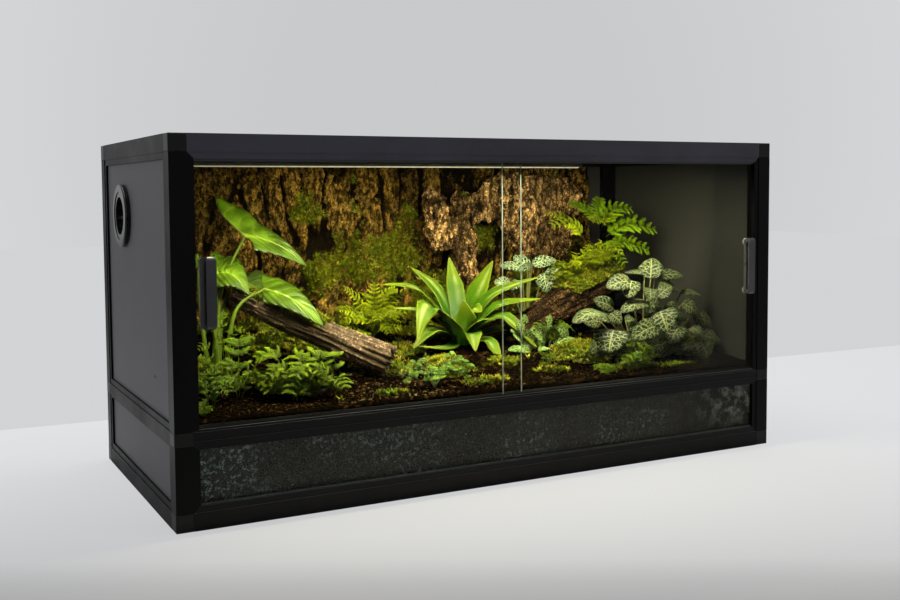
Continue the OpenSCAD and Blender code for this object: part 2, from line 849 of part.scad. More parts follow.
// Strap leaf: leaves the origin at angle rise and bends down over four straight lengths
module strap_leaf(len, w, rise, bend, t = 2) {
    n = 4;
    step = len / n;
    function at(i) = i == 0 ? [0, 0]
        : at(i - 1) + step * [cos(rise - bend * (i - 1) / (n - 1)), sin(rise - bend * (i - 1) / (n - 1))];
    top = [for (i = [0:n]) at(i)];
    under = t * [sin(rise - bend / 2), -cos(rise - bend / 2)];
    reach = at(n)[0];
    intersection() {
        translate([0, w / 2, 0]) rotate([90, 0, 0]) linear_extrude(w)
            polygon(concat(top, [for (i = [n:-1:0]) top[i] + under]));
        translate([0, 0, -w]) linear_extrude(3 * len)
            polygon([[-2, -w * 0.2], [reach * 0.45, -w / 2 + 0.5], [reach * 0.8, -w * 0.32],
                [reach + 1, 0], [reach * 0.8, w * 0.32], [reach * 0.45, w / 2 - 0.5],
                [-2, w * 0.2]]);
    }
}

// Fern frond outline with a toothed edge
module frond_outline(len, w, teeth) {
    step = len / teeth;
    upper = [for (i = [0:teeth - 1], k = [0, 1])
        [step * (i + 0.55 * k), (k == 0 ? 0.16 : 0.5) * w * sin(25 + 150 * (i + 0.5) / teeth)]];
    lower = [for (i = [len(upper) - 1:-1:0]) [upper[i][0], -upper[i][1]]];
    polygon(concat(upper, [[len, 0]], lower));
}

// Crown of fronds that leave the base at different heights
module fern(base, count, len, w, low, high, teeth = 6) {
    foot = len > 80 ? len * 0.056 : len * 0.088;
    translate(base) {
        translate([-foot, -foot, 0]) cube([2 * foot, 2 * foot, foot * 1.5]);
        for (i = [0:count - 1]) {
            rise = low + (high - low) * ((i * 3) % count) / count;
            rotate([0, 0, 360 * (i + 0.37) / count]) rotate([0, -rise, 0])
                translate([1, 0, foot * 0.6 + 0.13 * i]) linear_extrude(1.8)
                    frond_outline(len, w, teeth);
        }
    }
}

// Bush of round leaves over a dome that is wider than deep
module leaf_bush(base, count, wide, deep, rise, leaf_len, leaf_w, r) {
    foot = r * 1.5;
    translate(base - [foot, foot, 0]) cube([2 * foot, 2 * foot, 2 * foot]);
    for (i = [0:count - 1]) {
        t = (i + 0.5) / count;
        turn = i * 137.5 + 20;
        out = sqrt(t);
        p = base + [cos(turn) * out * wide, sin(turn) * out * deep,
            rise * (0.28 + 0.72 * sqrt(1 - t))];
        q = p + leaf_len * [cos(turn) * 0.9, sin(turn) * 0.5, -0.3 * out];
        stalked_leaf(base + [0, 0, foot], p, q, leaf_w, 0, 0.06, r);
    }
}

// ---------------------------------------------------------------- planting

// Ground prism: everything from z0 up to the soil surface, between x0 and x1
module ground_prism(x0, x1, z0) {
    stations = [soil_y0, slope_y0, slope_y1, soil_y1];
    translate([x1, 0, 0]) rotate([90, 0, -90]) mirror([1, 0, 0]) linear_extrude(x1 - x0)
        polygon(concat([[soil_y1, z0], [soil_y0, z0]], [for (y = stations) [y, ground(y)]]));
}

module soil() {
    inner = conn + soft_gap;
    color([0.12, 0.09, 0.06]) placed() {
        // between the frame tubes
        ground_prism(inner, cabinet_w - inner, fin_at - proud + fin_t + soft_gap);
        // above the middle rails, out to the side panels
        ground_prism(soil_x0, cabinet_w - soil_x0, sill_top + soft_gap);
        // against the front window
        translate([inner, glass_fin_at + fin_t + soft_gap, tube + soft_gap])
            cube([cabinet_w - 2 * inner, tube, sill_z - tube - 2 * soft_gap]);
    }
}

// Moss cushions on the slope: the first two numbers give the spot, the others, as shares of
// the cabinet's depth, the radius on the ground and the height
cushions = [[0.25, 0.724, 0.078, 0.048], [0.515, 0.716, 0.056, 0.041],
    [0.733, 0.354, 0.104, 0.037], [0.467, 0.336, 0.082, 0.03], [0.933, 0.321, 0.093, 0.041],
    [0.075, 0.489, 0.1, 0.041], [0.872, 0.769, 0.056, 0.041]];
slope = atan2(ground(slope_y1) - ground(slope_y0), slope_y1 - slope_y0);

// Domed cushion over the origin
module cushion(r, h) {
    ball = (r * r + h * h) / (2 * h);
    rotate_extrude() intersection() {
        translate([0, h - ball]) circle(ball);
        square([r, h]);
    }
}

module moss_mounds() {
    color([0.3, 0.42, 0.06]) placed() {
        for (m = cushions)
            translate(seat(m[0], m[1], 0)) rotate([slope, 0, 0])
                cushion(m[2] * cabinet_d, m[3] * cabinet_d);
        // mossy sleeve over the thick end of the right log
        log_frame(log_right_p, log_right_q) rotate([0, 0, -62]) rotate_extrude(angle = 124)
            polygon([[log_right_r(0.58) + soft_gap, log_right_len * 0.58],
                [log_right_r(0.9) + soft_gap, log_right_len * 0.9],
                [log_right_r(0.9) * 1.36, log_right_len * 0.86],
                [log_right_r(0.58) * 1.32, log_right_len * 0.62]]);
    }
}

bark_y1 = soil_y1;
bark_y0 = bark_y1 - bark_t;
bark_x0 = conn + soft_gap + 4;
bark_x1 = cabinet_w - bark_bare;
bark_top = top_z - 10;

// Depth of the bark's face at x: deep furrows between broad ridges
function bark_face(x, s) = bark_y0 + 7 * sin(x * 1.9 + s) + 5 * sin(x * 4.3 + 2 * s)
    - 4 * abs(sin(x * 2.7 + 3 * s));

// One course of bark between two heights
module bark_course(z0, z1, s) {
    n = 44;
    step = (bark_x1 - bark_x0) / n;
    translate([0, 0, z0]) linear_extrude(z1 - z0)
        polygon(concat([[bark_x1, bark_y1], [bark_x0, bark_y1]],
            [for (i = [0:n]) [bark_x0 + i * step, bark_face(bark_x0 + i * step, s)]]));
}

module bark_wall() {
    foot = soil_back_z + soft_gap;
    rise = bark_top - foot;
    color([0.4, 0.28, 0.14]) placed() {
        bark_course(foot, foot + rise * 0.3, 0);
        bark_course(foot + rise * 0.3, foot + rise * 0.58, 25);
        bark_course(foot + rise * 0.58, foot + rise * 0.82, 60);
        bark_course(foot + rise * 0.82, bark_top, 95);
    }
}

// Outline points on the bark: shares of the cabinet's width and of the bark's height
function on_bark(points, foot) = [for (p = points)
    [p[0] * cabinet_w, foot + p[1] * (bark_top - foot)]];

// Forked trunk in front of the bark wall and the broad slab that overhangs beside it
module bark_trunk() {
    back = bark_y0 - 14.6;
    foot = ground(back) + soft_gap;
    fork = [[0.534, 0.809], [0.557, 0.854], [0.573, 0.824], [0.583, 0.701], [0.594, 0.644],
        [0.6, 0.815], [0.621, 0.839], [0.637, 0.812], [0.637, 0.59], [0.64, 0.402],
        [0.643, 0.261], [0.658, 0.168], [0.667, 0], [0.62, 0], [0.615, 0.225], [0.593, 0.402],
        [0.588, 0.456], [0.553, 0.456], [0.543, 0.611]];
    slab = [[0.633, 0.791], [0.637, 0.625], [0.655, 0.632], [0.683, 0.645], [0.698, 0.61],
        [0.711, 0.52], [0.737, 0.436], [0.765, 0.362], [0.81, 0.355], [0.838, 0.4],
        [0.86, 0.602], [0.872, 0.791], [0.842, 0.934], [0.7, 0.958], [0.658, 0.88]];
    color([0.46, 0.32, 0.2]) placed() translate([0, back, 0]) rotate([90, 0, 0]) {
        linear_extrude(trunk_t) polygon(on_bark(fork, foot));
        translate([0, 0, 1]) linear_extrude(trunk_t * 0.63) polygon(on_bark(slab, foot));
    }
}

// Turns +z along the line from p to q, with +x upwards
module log_frame(p, q) {
    v = q - p;
    translate(p) rotate([0, 90 - atan2(v[2], run(v)), atan2(v[1], v[0])])
        rotate([0, 0, 180]) children();
}

// A log that lies on the slope with the lower rim of its foot, and climbs by rise
function log_foot(u, v, r, lean) = spot(u, v) + [0, 0,
    ground(v * cabinet_d + r * sin(lean)) + r * cos(lean) + soft_gap];

log_right_p = log_foot(0.627, 0.489, log_right_small, 14);
log_right_q = log_right_p + spot(0.283, 0.119) + [0, 0, 0.134 * cabinet_d];
log_right_len = norm(log_right_q - log_right_p);
function log_right_r(t) = log_right_small + (log_right_big - log_right_small) * t;
// How steeply its upper side climbs
log_right_rise = asin(0.134 * cabinet_d / log_right_len)
    + atan2(log_right_big - log_right_small, log_right_len);

log_left_p = log_foot(0.36, 0.328, log_left_big, 17);
log_left_q = log_left_p + spot(-0.172, 0.306) + [0, 0, 0.136 * cabinet_d];

// Rough log from p to q with a rounded foot and the stub of a branch
module log(p, q, r0, r1, stub) {
    v = q - p;
    r = r0 + (r1 - r0) * stub;
    stick(p, q, r0, r1);
    stick(p + v * stub, p + v * (stub + 0.06) + [0, -r * 0.9, r * 1.1], 12, 8);
}

module log_left() {
    color([0.34, 0.24, 0.16]) placed()
        log(log_left_p, log_left_q, log_left_big, log_left_small, 0.45);
}

module log_right() {
    color([0.34, 0.24, 0.16]) placed()
        log(log_right_p, log_right_q, log_right_small, log_right_big, 0.3);
}

// Broad arrow-shaped leaves on long stalks, each [foot, leaf's foot, leaf's tip, width, roll]
module arrowhead_plant() {
    base = seat(0.125, 0.731, arrow_h * 0.026);
    h = arrow_h;
    leaves = [[[0, 0, 0.03], [0.08, -0.34, 1], [0.64, -0.385, 0.6], 0.245, -55],
        [[-0.01, 0, 0.03], [0.11, -0.46, 0.54], [-0.17, -0.5, 0.72], 0.222, 50],
        [[0.01, -0.01, 0.03], [0.3, -0.58, 0.54], [0.68, -0.74, 0.16], 0.207, -40],
        [[-0.01, 0, 0.03], [-0.22, -0.23, 0.42], [-0.32, -0.34, 0.64], 0.17, 30]];
    color([0.35, 0.6, 0.08]) placed() {
        translate(base - [1, 1, 0] * h * 0.026) cube([h * 0.052, h * 0.052, h * 0.045]);
        for (m = leaves)
            stalked_leaf(base + h * m[0], base + h * m[1], base + h * m[2], h * m[3], m[4],
                0.14, h * 0.017);
    }
}

module bromeliad() {
    outer = 8;
    inner = 4;
    cup = strap_w * 0.8;
    color([0.36, 0.62, 0.08]) placed() translate(seat(0.546, 0.534, cup * 0.55)) {
        cylinder(h = cup * 1.7, r1 = cup * 0.55, r2 = cup);
        for (i = [0:outer - 1])
            rotate([0, 0, i * 360 / outer + 11]) translate([cup * 0.22, 0, cup * 0.55 + 0.4 * i])
                strap_leaf(strap_len, strap_w, 60 + 6 * (i % 2), 60);
        for (i = [0:inner - 1])
            rotate([0, 0, i * 360 / inner + 33]) translate([cup * 0.15, 0, cup * 1.1 + 0.5 * i])
                strap_leaf(strap_len * (0.75 + 0.07 * (i % 2)), strap_w * 0.88,
                    80 - 6 * (i % 2), 20);
    }
}

module nerve_plant_large() {
    color([0.45, 0.58, 0.3]) placed()
        leaf_bush(seat(0.843, 0.272, bush_w * 0.036), 12, bush_w, bush_w * 0.54, bush_h,
            bush_w * 0.59, bush_w * 0.43, bush_w * 0.023);
}

module nerve_plant_small() {
    color([0.45, 0.58, 0.3]) placed()
        leaf_bush(seat(0.74, 0.713, sprig_w * 0.0625), 7, sprig_w, sprig_w * 0.28, sprig_h,
            sprig_w * 0.84, sprig_w * 0.56, sprig_w * 0.04);
}

module creeper() {
    color([0.3, 0.5, 0.16]) placed()
        leaf_bush(seat(0.397, 0.123, creeper_w * 0.1), 9, creeper_w, creeper_w * 0.33,
            creeper_w * 1.24, creeper_w * 0.52, creeper_w * 0.38, creeper_w * 0.048);
}

module fern_centre() {
    color([0.3, 0.5, 0.06]) placed()
        fern(seat(0.415, 0.638, frond_len * 0.056), 9, frond_len, frond_len * 0.33, 12, 62);
}

// Fern that grows on the thick end of the right log
module fern_right() {
    along = 0.965;
    axis_point = log_right_p + (log_right_q - log_right_p) * along;
    lift = log_right_r(along) * 1.022 + frond_len * 0.056 * tan(log_right_rise) + soft_gap;
    color([0.26, 0.46, 0.06]) placed()
        fern(axis_point + [0, 0, lift], 9, frond_len, frond_len * 0.35, 4, 58);
}

module ferns_front() {
    len = small_frond_len;
    foot = len * 0.09;
    color([0.3, 0.5, 0.06]) placed() {
        fern(seat(0.093, 0.28, foot), 7, len, len * 0.45, 22, 50);
        fern(seat(0.253, 0.194, foot), 7, len, len * 0.45, 16, 50);
        fern(seat(0.627, 0.239, foot), 7, len * 1.06, len * 0.45, 25, 60);
    }
}

// ---------------------------------------------------------------- drawing

bottom_rail_front();
bottom_rail_back();
bottom_rail_left();
bottom_rail_right();
mid_rail_front();
mid_rail_back();
mid_rail_left();
mid_rail_right();
top_rail_front();
top_rail_back();
top_rail_left();
top_rail_right();
lower_posts();
upper_post_front_left();
upper_post_front_right();
upper_posts_back();
bottom_corners();
top_corners();
tee_connectors();
floor_panel();
lid_panel();
back_panel_upper();
back_panel_lower();
left_panel_upper();
left_panel_lower();
right_panel_upper();
right_panel_lower();
front_window();
low_track();
high_track();
left_pane();
right_pane();
left_handle();
right_handle();
left_handle_pads();
right_handle_pads();
vent_flange();
vent_nut();
vent_grille();
vent_shutter();
vent_cap();
light_housing();
light_lens();
light_end_caps();
light_clips();
cable_grommet();
soil();
moss_mounds();
bark_wall();
bark_trunk();
log_left();
log_right();
arrowhead_plant();
bromeliad();
nerve_plant_large();
nerve_plant_small();
fern_centre();
fern_right();
ferns_front();
creeper();
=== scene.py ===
"""A planted terrarium: finishes for its cabinet, and the soil, bark, logs, moss and plants inside.

Lengths in this file are millimetres measured from the front left bottom corner of the cabinet,
unless a name or a property says otherwise. at() turns such a place into the shared frame.
"""

import json
import math
import random

import bmesh
import bpy
import numpy as np
from bpy.props import FloatProperty, FloatVectorProperty, IntProperty, PointerProperty
from mathutils import Matrix, Vector, noise

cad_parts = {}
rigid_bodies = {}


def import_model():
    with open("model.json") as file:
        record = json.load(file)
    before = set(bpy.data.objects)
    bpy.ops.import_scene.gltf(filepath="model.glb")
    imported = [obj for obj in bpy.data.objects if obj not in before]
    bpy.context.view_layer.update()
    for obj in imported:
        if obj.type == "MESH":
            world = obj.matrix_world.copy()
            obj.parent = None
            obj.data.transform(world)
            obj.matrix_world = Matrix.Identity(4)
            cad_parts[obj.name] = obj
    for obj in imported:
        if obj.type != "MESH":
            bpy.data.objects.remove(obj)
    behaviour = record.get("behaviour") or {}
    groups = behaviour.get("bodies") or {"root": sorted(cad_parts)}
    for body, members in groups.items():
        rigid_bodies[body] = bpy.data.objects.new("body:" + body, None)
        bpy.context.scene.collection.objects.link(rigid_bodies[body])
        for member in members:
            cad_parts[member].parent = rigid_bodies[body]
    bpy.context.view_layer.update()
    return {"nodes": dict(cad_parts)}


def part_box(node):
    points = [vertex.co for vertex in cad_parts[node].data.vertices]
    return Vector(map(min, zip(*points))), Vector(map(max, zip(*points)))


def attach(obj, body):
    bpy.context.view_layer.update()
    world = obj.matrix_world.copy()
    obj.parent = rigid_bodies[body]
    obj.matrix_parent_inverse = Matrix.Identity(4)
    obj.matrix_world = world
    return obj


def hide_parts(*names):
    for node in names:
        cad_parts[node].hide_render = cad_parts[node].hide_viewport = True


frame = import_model()

bl_info = {
    "name": "Planted terrarium",
    "version": (1, 0, 0),
    "blender": (4, 5, 0),
    "location": "View3D > Sidebar > Terrarium",
    "description": "Dresses the cabinet of a planted terrarium and grows what is inside it",
    "category": "Add Mesh",
}

MM = 0.001
NODES = frame["nodes"]
# From the middle of the shared frame to the cabinet's left side and front, in metres.
LEFT, FRONT = 0.6, 0.268


# ------------------------------------------------------------------ places


def at(x, y, z):
    """A place in millimetres from the front left bottom corner, in the shared frame."""
    return Vector((x * MM - LEFT, y * MM - FRONT, z * MM))


def in_mm(co):
    """The x, y and z that at() takes for a point of the shared frame."""
    return co.x / MM + LEFT / MM, co.y / MM + FRONT / MM, co.z / MM


def lerp(a, b, t):
    return a + (b - a) * t


def clamp(value, low=0.0, high=1.0):
    return max(low, min(high, value))


def smooth(t):
    """0 to 1 with a soft start and end."""
    t = clamp(t)
    return t * t * (3 - 2 * t)


def fuzz(x, y, z, octaves=4, roughness=0.55):
    """Fractal noise of about -1 to 1."""
    total, size, scale = 0.0, 1.0, 1.0
    for _ in range(octaves):
        total += size * noise.noise(Vector((x * scale, y * scale, z * scale)))
        size *= roughness
        scale *= 2.03
    return total


BED = ((0, 166), (120, 168), (430, 234), (507.3, 238))


def bed(y):
    """Height of the raked soil at a distance from the front."""
    for (y0, z0), (y1, z1) in zip(BED, BED[1:]):
        if y <= y1:
            return lerp(z0, z1, (y - y0) / (y1 - y0))
    return BED[-1][1]


def ground(x, y):
    """Height of the soil's uneven surface."""
    return bed(y) + 3.5 * fuzz(x / 70, y / 70, 3.1, 3) + 1.3 * fuzz(x / 14, y / 14, 7.7, 3)


# ------------------------------------------------------------------ looks


def times(tint, share):
    """A colour made paler or darker."""
    return tuple(c * share for c in tint)


class Num:
    """A socket in a material, with arithmetic that adds Math nodes."""

    def __init__(self, look, socket):
        self.look = look
        self.socket = socket

    def math(self, operation, first, second=0.0):
        return self.look.node("ShaderNodeMath", {"operation": operation}, {0: first, 1: second})

    def __add__(self, other):
        return self.math("ADD", self, other)

    def __radd__(self, other):
        return self.math("ADD", other, self)

    def __sub__(self, other):
        return self.math("SUBTRACT", self, other)

    def __rsub__(self, other):
        return self.math("SUBTRACT", other, self)

    def __mul__(self, other):
        return self.math("MULTIPLY", self, other)

    def __rmul__(self, other):
        return self.math("MULTIPLY", other, self)

    def __gt__(self, other):
        return self.math("GREATER_THAN", self, other)

    def __lt__(self, other):
        return self.math("LESS_THAN", self, other)

    def __abs__(self):
        return self.math("ABSOLUTE", self)

    def wrap(self):
        return self.math("FRACT", self)

    def least(self, other):
        return self.math("MINIMUM", self, other)

    def most(self, other):
        return self.math("MAXIMUM", self, other)


class Look:
    """A procedural material, or the world, that is being put together."""

    def __init__(self, name, world=False):
        self.owner = (bpy.data.worlds if world else bpy.data.materials).new(name)
        self.owner.use_nodes = True
        self.output = "ShaderNodeOutputWorld" if world else "ShaderNodeOutputMaterial"
        self.tree = self.owner.node_tree
        self.tree.nodes.clear()

    def node(self, kind, settings=None, values=None, out=0):
        """Adds a node, sets it, then sets or links its sockets, and gives one of its outputs."""
        made = self.tree.nodes.new(kind)
        for key, value in (settings or {}).items():
            if key == "stops":
                self.set_stops(made.color_ramp, value)
            else:
                setattr(made, key, value)
        for key, value in (values or {}).items():
            socket = made.inputs[key]
            if isinstance(value, Num):
                self.tree.links.new(value.socket, socket)
            elif socket.type == "RGBA" and len(value) == 3:
                socket.default_value = (*value, 1.0)
            else:
                socket.default_value = value
        return Num(self, made.outputs[out]) if made.outputs else None

    @staticmethod
    def set_stops(ramp, stops):
        ramp.elements[0].position = stops[0][0]
        ramp.elements[1].position = stops[-1][0]
        for position, _ in stops[1:-1]:
            ramp.elements.new(position)
        for element, (_, colour) in zip(ramp.elements, stops):
            element.color = (*colour, 1.0)

    def place(self, scale=(1, 1, 1), kind="Object"):
        where = self.node("ShaderNodeTexCoord", out=kind)
        return self.node("ShaderNodeMapping", None, {"Vector": where, "Scale": scale})

    def uv(self, scale=(1, 1, 1)):
        return self.place(scale, "UV")

    def axes(self, where):
        parts = self.node("ShaderNodeSeparateXYZ", None, {0: where})
        outs = parts.socket.node.outputs
        return Num(self, outs[0]), Num(self, outs[1]), Num(self, outs[2])

    def attribute(self, name):
        return self.node("ShaderNodeAttribute", {"attribute_name": name}, out="Fac")

    def noise(self, scale, where=None, detail=4.0, roughness=0.5):
        return self.node("ShaderNodeTexNoise", None,
                         {"Vector": where or self.place(), "Scale": scale, "Detail": detail,
                          "Roughness": roughness})

    def cells(self, scale, where=None, feature="F1", out="Distance"):
        return self.node("ShaderNodeTexVoronoi", {"feature": feature},
                         {"Vector": where or self.place(), "Scale": scale}, out)

    def span(self, value, low, high, to_low=0.0, to_high=1.0):
        return self.node("ShaderNodeMapRange", {"clamp": True},
                         {0: value, 1: low, 2: high, 3: to_low, 4: to_high})

    def ramp(self, value, stops):
        return self.node("ShaderNodeValToRGB", {"stops": stops}, {0: value})

    def mix(self, amount, first, second):
        return self.node("ShaderNodeMix", {"data_type": "RGBA"},
                         {0: amount, 6: first, 7: second}, 2)

    def bump(self, height, depth, strength):
        return self.node("ShaderNodeBump", None,
                         {"Height": height, "Distance": depth, "Strength": strength})

    def surface(self, **values):
        """Closes the look with a Principled node."""
        return self.close(self.principled(**values))

    def principled(self, **values):
        """A Principled node, whose sockets are written as base_color or specular_ior_level."""
        named = {key.replace("_", " ").title().replace("Ior", "IOR"): value
                 for key, value in values.items()}
        return self.node("ShaderNodeBsdfPrincipled", None, named)

    def blend(self, share, first, second):
        """Mixes two shaders and closes the look."""
        return self.close(self.node("ShaderNodeMixShader", None, {0: share, 1: first, 2: second}))

    def close(self, shader):
        """Joins a shader to the output and gives back the finished material or world."""
        self.node(self.output, None, {"Surface": shader})
        return self.owner


def dress(material, *nodes):
    """Gives one material to CAD nodes."""
    for name in nodes:
        mesh = NODES[name].data
        if not mesh.materials:
            mesh.materials.append(material)
        for slot in range(len(mesh.materials)):
            mesh.materials[slot] = material


# ------------------------------------------------------------------ meshes


def object_of(name, mesh, material, slot, *replaced):
    """Puts a finished mesh in the scene as a piece that rides on the cabinet."""
    piece = bpy.data.objects.new(name, mesh)
    bpy.context.scene.collection.objects.link(piece)
    mesh.materials.clear()
    mesh.materials.append(material)
    mesh.polygons.foreach_set("use_smooth", [True] * len(mesh.polygons))
    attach(piece, "cabinet")
    if replaced:
        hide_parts(*replaced)
    return piece


def to_mesh(bm, name):
    """Ends a bmesh as a mesh."""
    mesh = bpy.data.meshes.new(name)
    bm.to_mesh(mesh)
    bm.free()
    return mesh


def sheet(along, across, shape, weld=True):
    """A bmesh grid with its own UVs, sent to space by shape(u, v): u is -1 to 1, v is 0 to 1."""
    bm = bmesh.new()
    bm.loops.layers.uv.new("UVMap")
    bmesh.ops.create_grid(bm, x_segments=across, y_segments=along, size=0.5, calc_uvs=True)
    for vert in bm.verts:
        vert.co = shape(vert.co.x * 2, vert.co.y + 0.5)
    if weld:
        bmesh.ops.remove_doubles(bm, verts=bm.verts, dist=1e-6)
        bmesh.ops.dissolve_degenerate(bm, edges=bm.edges, dist=1e-7)
    return bm


def joined(parts):
    """One bmesh from several."""
    whole = bmesh.new()
    whole.loops.layers.uv.new("UVMap")
    for part in parts:
        mesh = to_mesh(part, "part")
        whole.from_mesh(mesh)
        bpy.data.meshes.remove(mesh)
    return whole


def copies(name, templates, places, shades):
    """One mesh of many copies of small template meshes. Each place is (template number, matrix)."""
    read = []
    for mesh in templates:
        co = np.zeros(len(mesh.vertices) * 3, np.float32)
        mesh.vertices.foreach_get("co", co)
        start = np.zeros(len(mesh.polygons), np.int32)
        mesh.polygons.foreach_get("loop_start", start)
        corner = np.zeros(len(mesh.loops), np.int32)
        mesh.loops.foreach_get("vertex_index", corner)
        uv = np.zeros(len(mesh.loops) * 2, np.float32)
        mesh.uv_layers[0].uv.foreach_get("vector", uv)
        read.append((co.reshape(-1, 3), start, corner, uv))
    cos, starts, corners, uvs, tones = [], [], [], [], []
    base = loop_base = 0
    for (kind, matrix), shade in zip(places, shades):
        co, start, corner, uv = read[kind]
        turn = np.array(matrix, np.float32)
        cos.append(co @ turn[:3, :3].T + turn[:3, 3])
        starts.append(start + loop_base)
        corners.append(corner + base)
        uvs.append(uv)
        tones.append(np.full(len(co), shade, np.float32))
        base += len(co)
        loop_base += len(corner)
    mesh = bpy.data.meshes.new(name)
    mesh.vertices.add(base)
    mesh.vertices.foreach_set("co", np.concatenate(cos).ravel())
    mesh.loops.add(loop_base)
    mesh.polygons.add(sum(len(s) for s in starts))
    mesh.polygons.foreach_set("loop_start", np.concatenate(starts))
    mesh.loops.foreach_set("vertex_index", np.concatenate(corners))
    mesh.update(calc_edges=True)
    mesh.uv_layers.new(name="UVMap").uv.foreach_set("vector", np.concatenate(uvs))
    mark(mesh, "shade", np.concatenate(tones))
    return mesh


def mark(mesh, name, values):
    """Stores one number for each vertex, for the material to read."""
    mesh.attributes.new(name, "FLOAT", "POINT").data.foreach_set("value", values)


def curve_points(points, steps):
    """Points along a smooth curve through a few given ones."""
    out = []
    last = len(points) - 1
    for i in range(last):
        p0, p1 = points[max(i - 1, 0)], points[i]
        p2, p3 = points[i + 1], points[min(i + 2, last)]
        for s in range(steps):
            t = s / steps
            out.append(0.5 * (2 * p1 + (p2 - p0) * t + (2 * p0 - 5 * p1 + 4 * p2 - p3) * t * t
                              + (3 * p1 - p0 - 3 * p2 + p3) * t * t * t))
    out.append(points[-1].copy())
    return out


def stems(name, routes):
    """A mesh of round stems. Each route is (points in metres, first radius, last radius in mm)."""
    curve = bpy.data.curves.new(name, "CURVE")
    curve.dimensions = "3D"
    curve.bevel_depth = 1.0
    curve.bevel_resolution = 2
    curve.use_fill_caps = True
    for points, first, last in routes:
        spline = curve.splines.new("POLY")
        spline.points.add(len(points) - 1)
        for i, point in enumerate(points):
            spline.points[i].co = (*point, 1.0)
            spline.points[i].radius = lerp(first, last, i / (len(points) - 1)) * MM
    holder = bpy.data.objects.new(name, curve)
    bpy.context.scene.collection.objects.link(holder)
    mesh = bpy.data.meshes.new_from_object(holder)
    bpy.data.objects.remove(holder)
    bpy.data.curves.remove(curve)
    return mesh


def basis(origin, forward, up):
    """A matrix whose X runs forward and whose Z leans to up."""
    x = forward.normalized()
    y = up.cross(x).normalized()
    z = x.cross(y)
    return Matrix.Translation(origin) @ Matrix((x, y, z)).transposed().to_4x4()


# ------------------------------------------------------------------ settings


def colour(name, description, *value):
    """A colour that a user can change."""
    return FloatVectorProperty(name=name, description=description, subtype="COLOR", size=3,
                               min=0.0, max=1.0, default=value)


def amount(name, description, value, low, high):
    """A number that a user can change."""
    return FloatProperty(name=name, description=description, default=value, min=low, max=high)


def length(name, description, value, low, high):
    """A length in metres that a user can change."""
    return FloatProperty(name=name, description=description, subtype="DISTANCE",
                         unit="LENGTH", default=value, min=low, max=high)


class TerrariumFinishes(bpy.types.PropertyGroup):
    """Colours of the cabinet."""

    profile: colour("Profiles", "Coating of the rails", 0.0022, 0.0022, 0.0031)
    # Painted shade: the posts take the rails' coating made darker.
    post: colour("Posts", "Coating of the posts", 0.0013, 0.0013, 0.0016)
    moulding: colour("Mouldings", "Black plastic of the connectors", 0.0040, 0.0040, 0.0046)
    # Painted light: the left side's sheet is a paler grey than the dark lining, for the light it
    # catches.
    side: colour("Side sheets", "Grey sheet in the left side", 0.060, 0.060, 0.066)
    lining: colour("Linings", "Dark sheet of the back, right side, floor and lid",
                   0.028, 0.0278, 0.0265)
    handle: colour("Handles", "Plastic of the handles", 0.018, 0.018, 0.022)
    edge: colour("Glass edges", "Tint of the cut edges of the glass", 0.26, 0.32, 0.29)


class TerrariumGrowth(bpy.types.PropertyGroup):
    """Sizes and colours of what grows in the cabinet."""

    seed: IntProperty(name="Seed", description="Start of the random draws", default=7, min=0)
    leaf: colour("Leaves", "Fresh green of the broad leaves", 0.062, 0.125, 0.003)
    fern: colour("Ferns", "Green of the fronds", 0.115, 0.155, 0.003)
    moss: colour("Moss", "Yellow green of the moss", 0.12, 0.135, 0.003)
    bark: colour("Bark", "Lit ridges of the cork bark", 0.22, 0.125, 0.018)
    soil: colour("Soil", "Moist substrate", 0.0016, 0.0010, 0.0004)
    tuft: length("Moss height", "Height of one tuft of moss", 0.009, 0.003, 0.02)


class TerrariumStage(bpy.types.PropertyGroup):
    """Camera, lamps and floor."""

    floor: colour("Floor", "Pale floor at the back, where it is brightest", 0.76, 0.765, 0.78)
    backdrop: colour("Backdrop", "Pale grey beyond the floor", 0.65, 0.655, 0.665)
    lens: FloatProperty(name="Lens", description="Focal length in millimetres",
                        default=43.33, min=20, max=200)
    sky: amount("Sky", "Strength of the light from all around", 0.06, 0.0, 3.0)
    key: amount("Key", "Watts of the large soft lamp overhead", 150.0, 0.0, 500.0)
    bar: amount("Light bar", "Watts of the light bar in the cabinet", 20.0, 0.0, 60.0)


# ------------------------------------------------------------------ cabinet finishes


# Places of finishes in metres of the shared frame: the front of the rails along y, where
# the ledges get a painted highlight, the bead at the window's foot along z, the lens's lower
# face along z and its dimmer end along x, where its glow is painted dimmer. The pairs run
# from where a finish starts to where it is full.
FRONT_LEDGE = (-0.2640, -0.2655)
WINDOW_BEAD = 0.0397
LENS_FACE = (0.5602, 0.5592)
# Over this stretch the lens's glow is painted dimmer.
LIT_STRETCH = (-0.56, -0.30)


def coated_profile(name, tint, specular, ledge_highlight):
    """Satin black coating over an extrusion with worn flecks, and a painted highlight on the front
    of the faces that look up.
    """
    look = Look(name)
    grain = look.noise(1500, detail=3)
    cloud = look.noise(9, detail=5, roughness=0.6)
    wear = look.span(look.noise(60, detail=6, roughness=0.7), 0.62, 0.8)
    shade = look.mix(look.span(cloud, 0.3, 0.75), tint, times(tint, 1.7))
    _, _, up = look.axes(look.node("ShaderNodeNewGeometry", out="True Normal"))
    _, away, _ = look.axes(look.place())
    # Painted highlight: the front of the faces that look up is made paler.
    ledge = look.span(up, 0.6, 0.95) * look.span(away, *FRONT_LEDGE)
    shade = look.mix(ledge * ledge_highlight, shade, (0.16, 0.16, 0.165))
    return look.surface(
        base_color=look.mix(wear * 0.25, shade, times(tint, 4)),
        roughness=look.span(cloud, 0.3, 0.7, 0.34, 0.46) + wear * 0.06,
        normal=look.bump(grain, 0.00008, 0.5), specular_ior_level=specular)


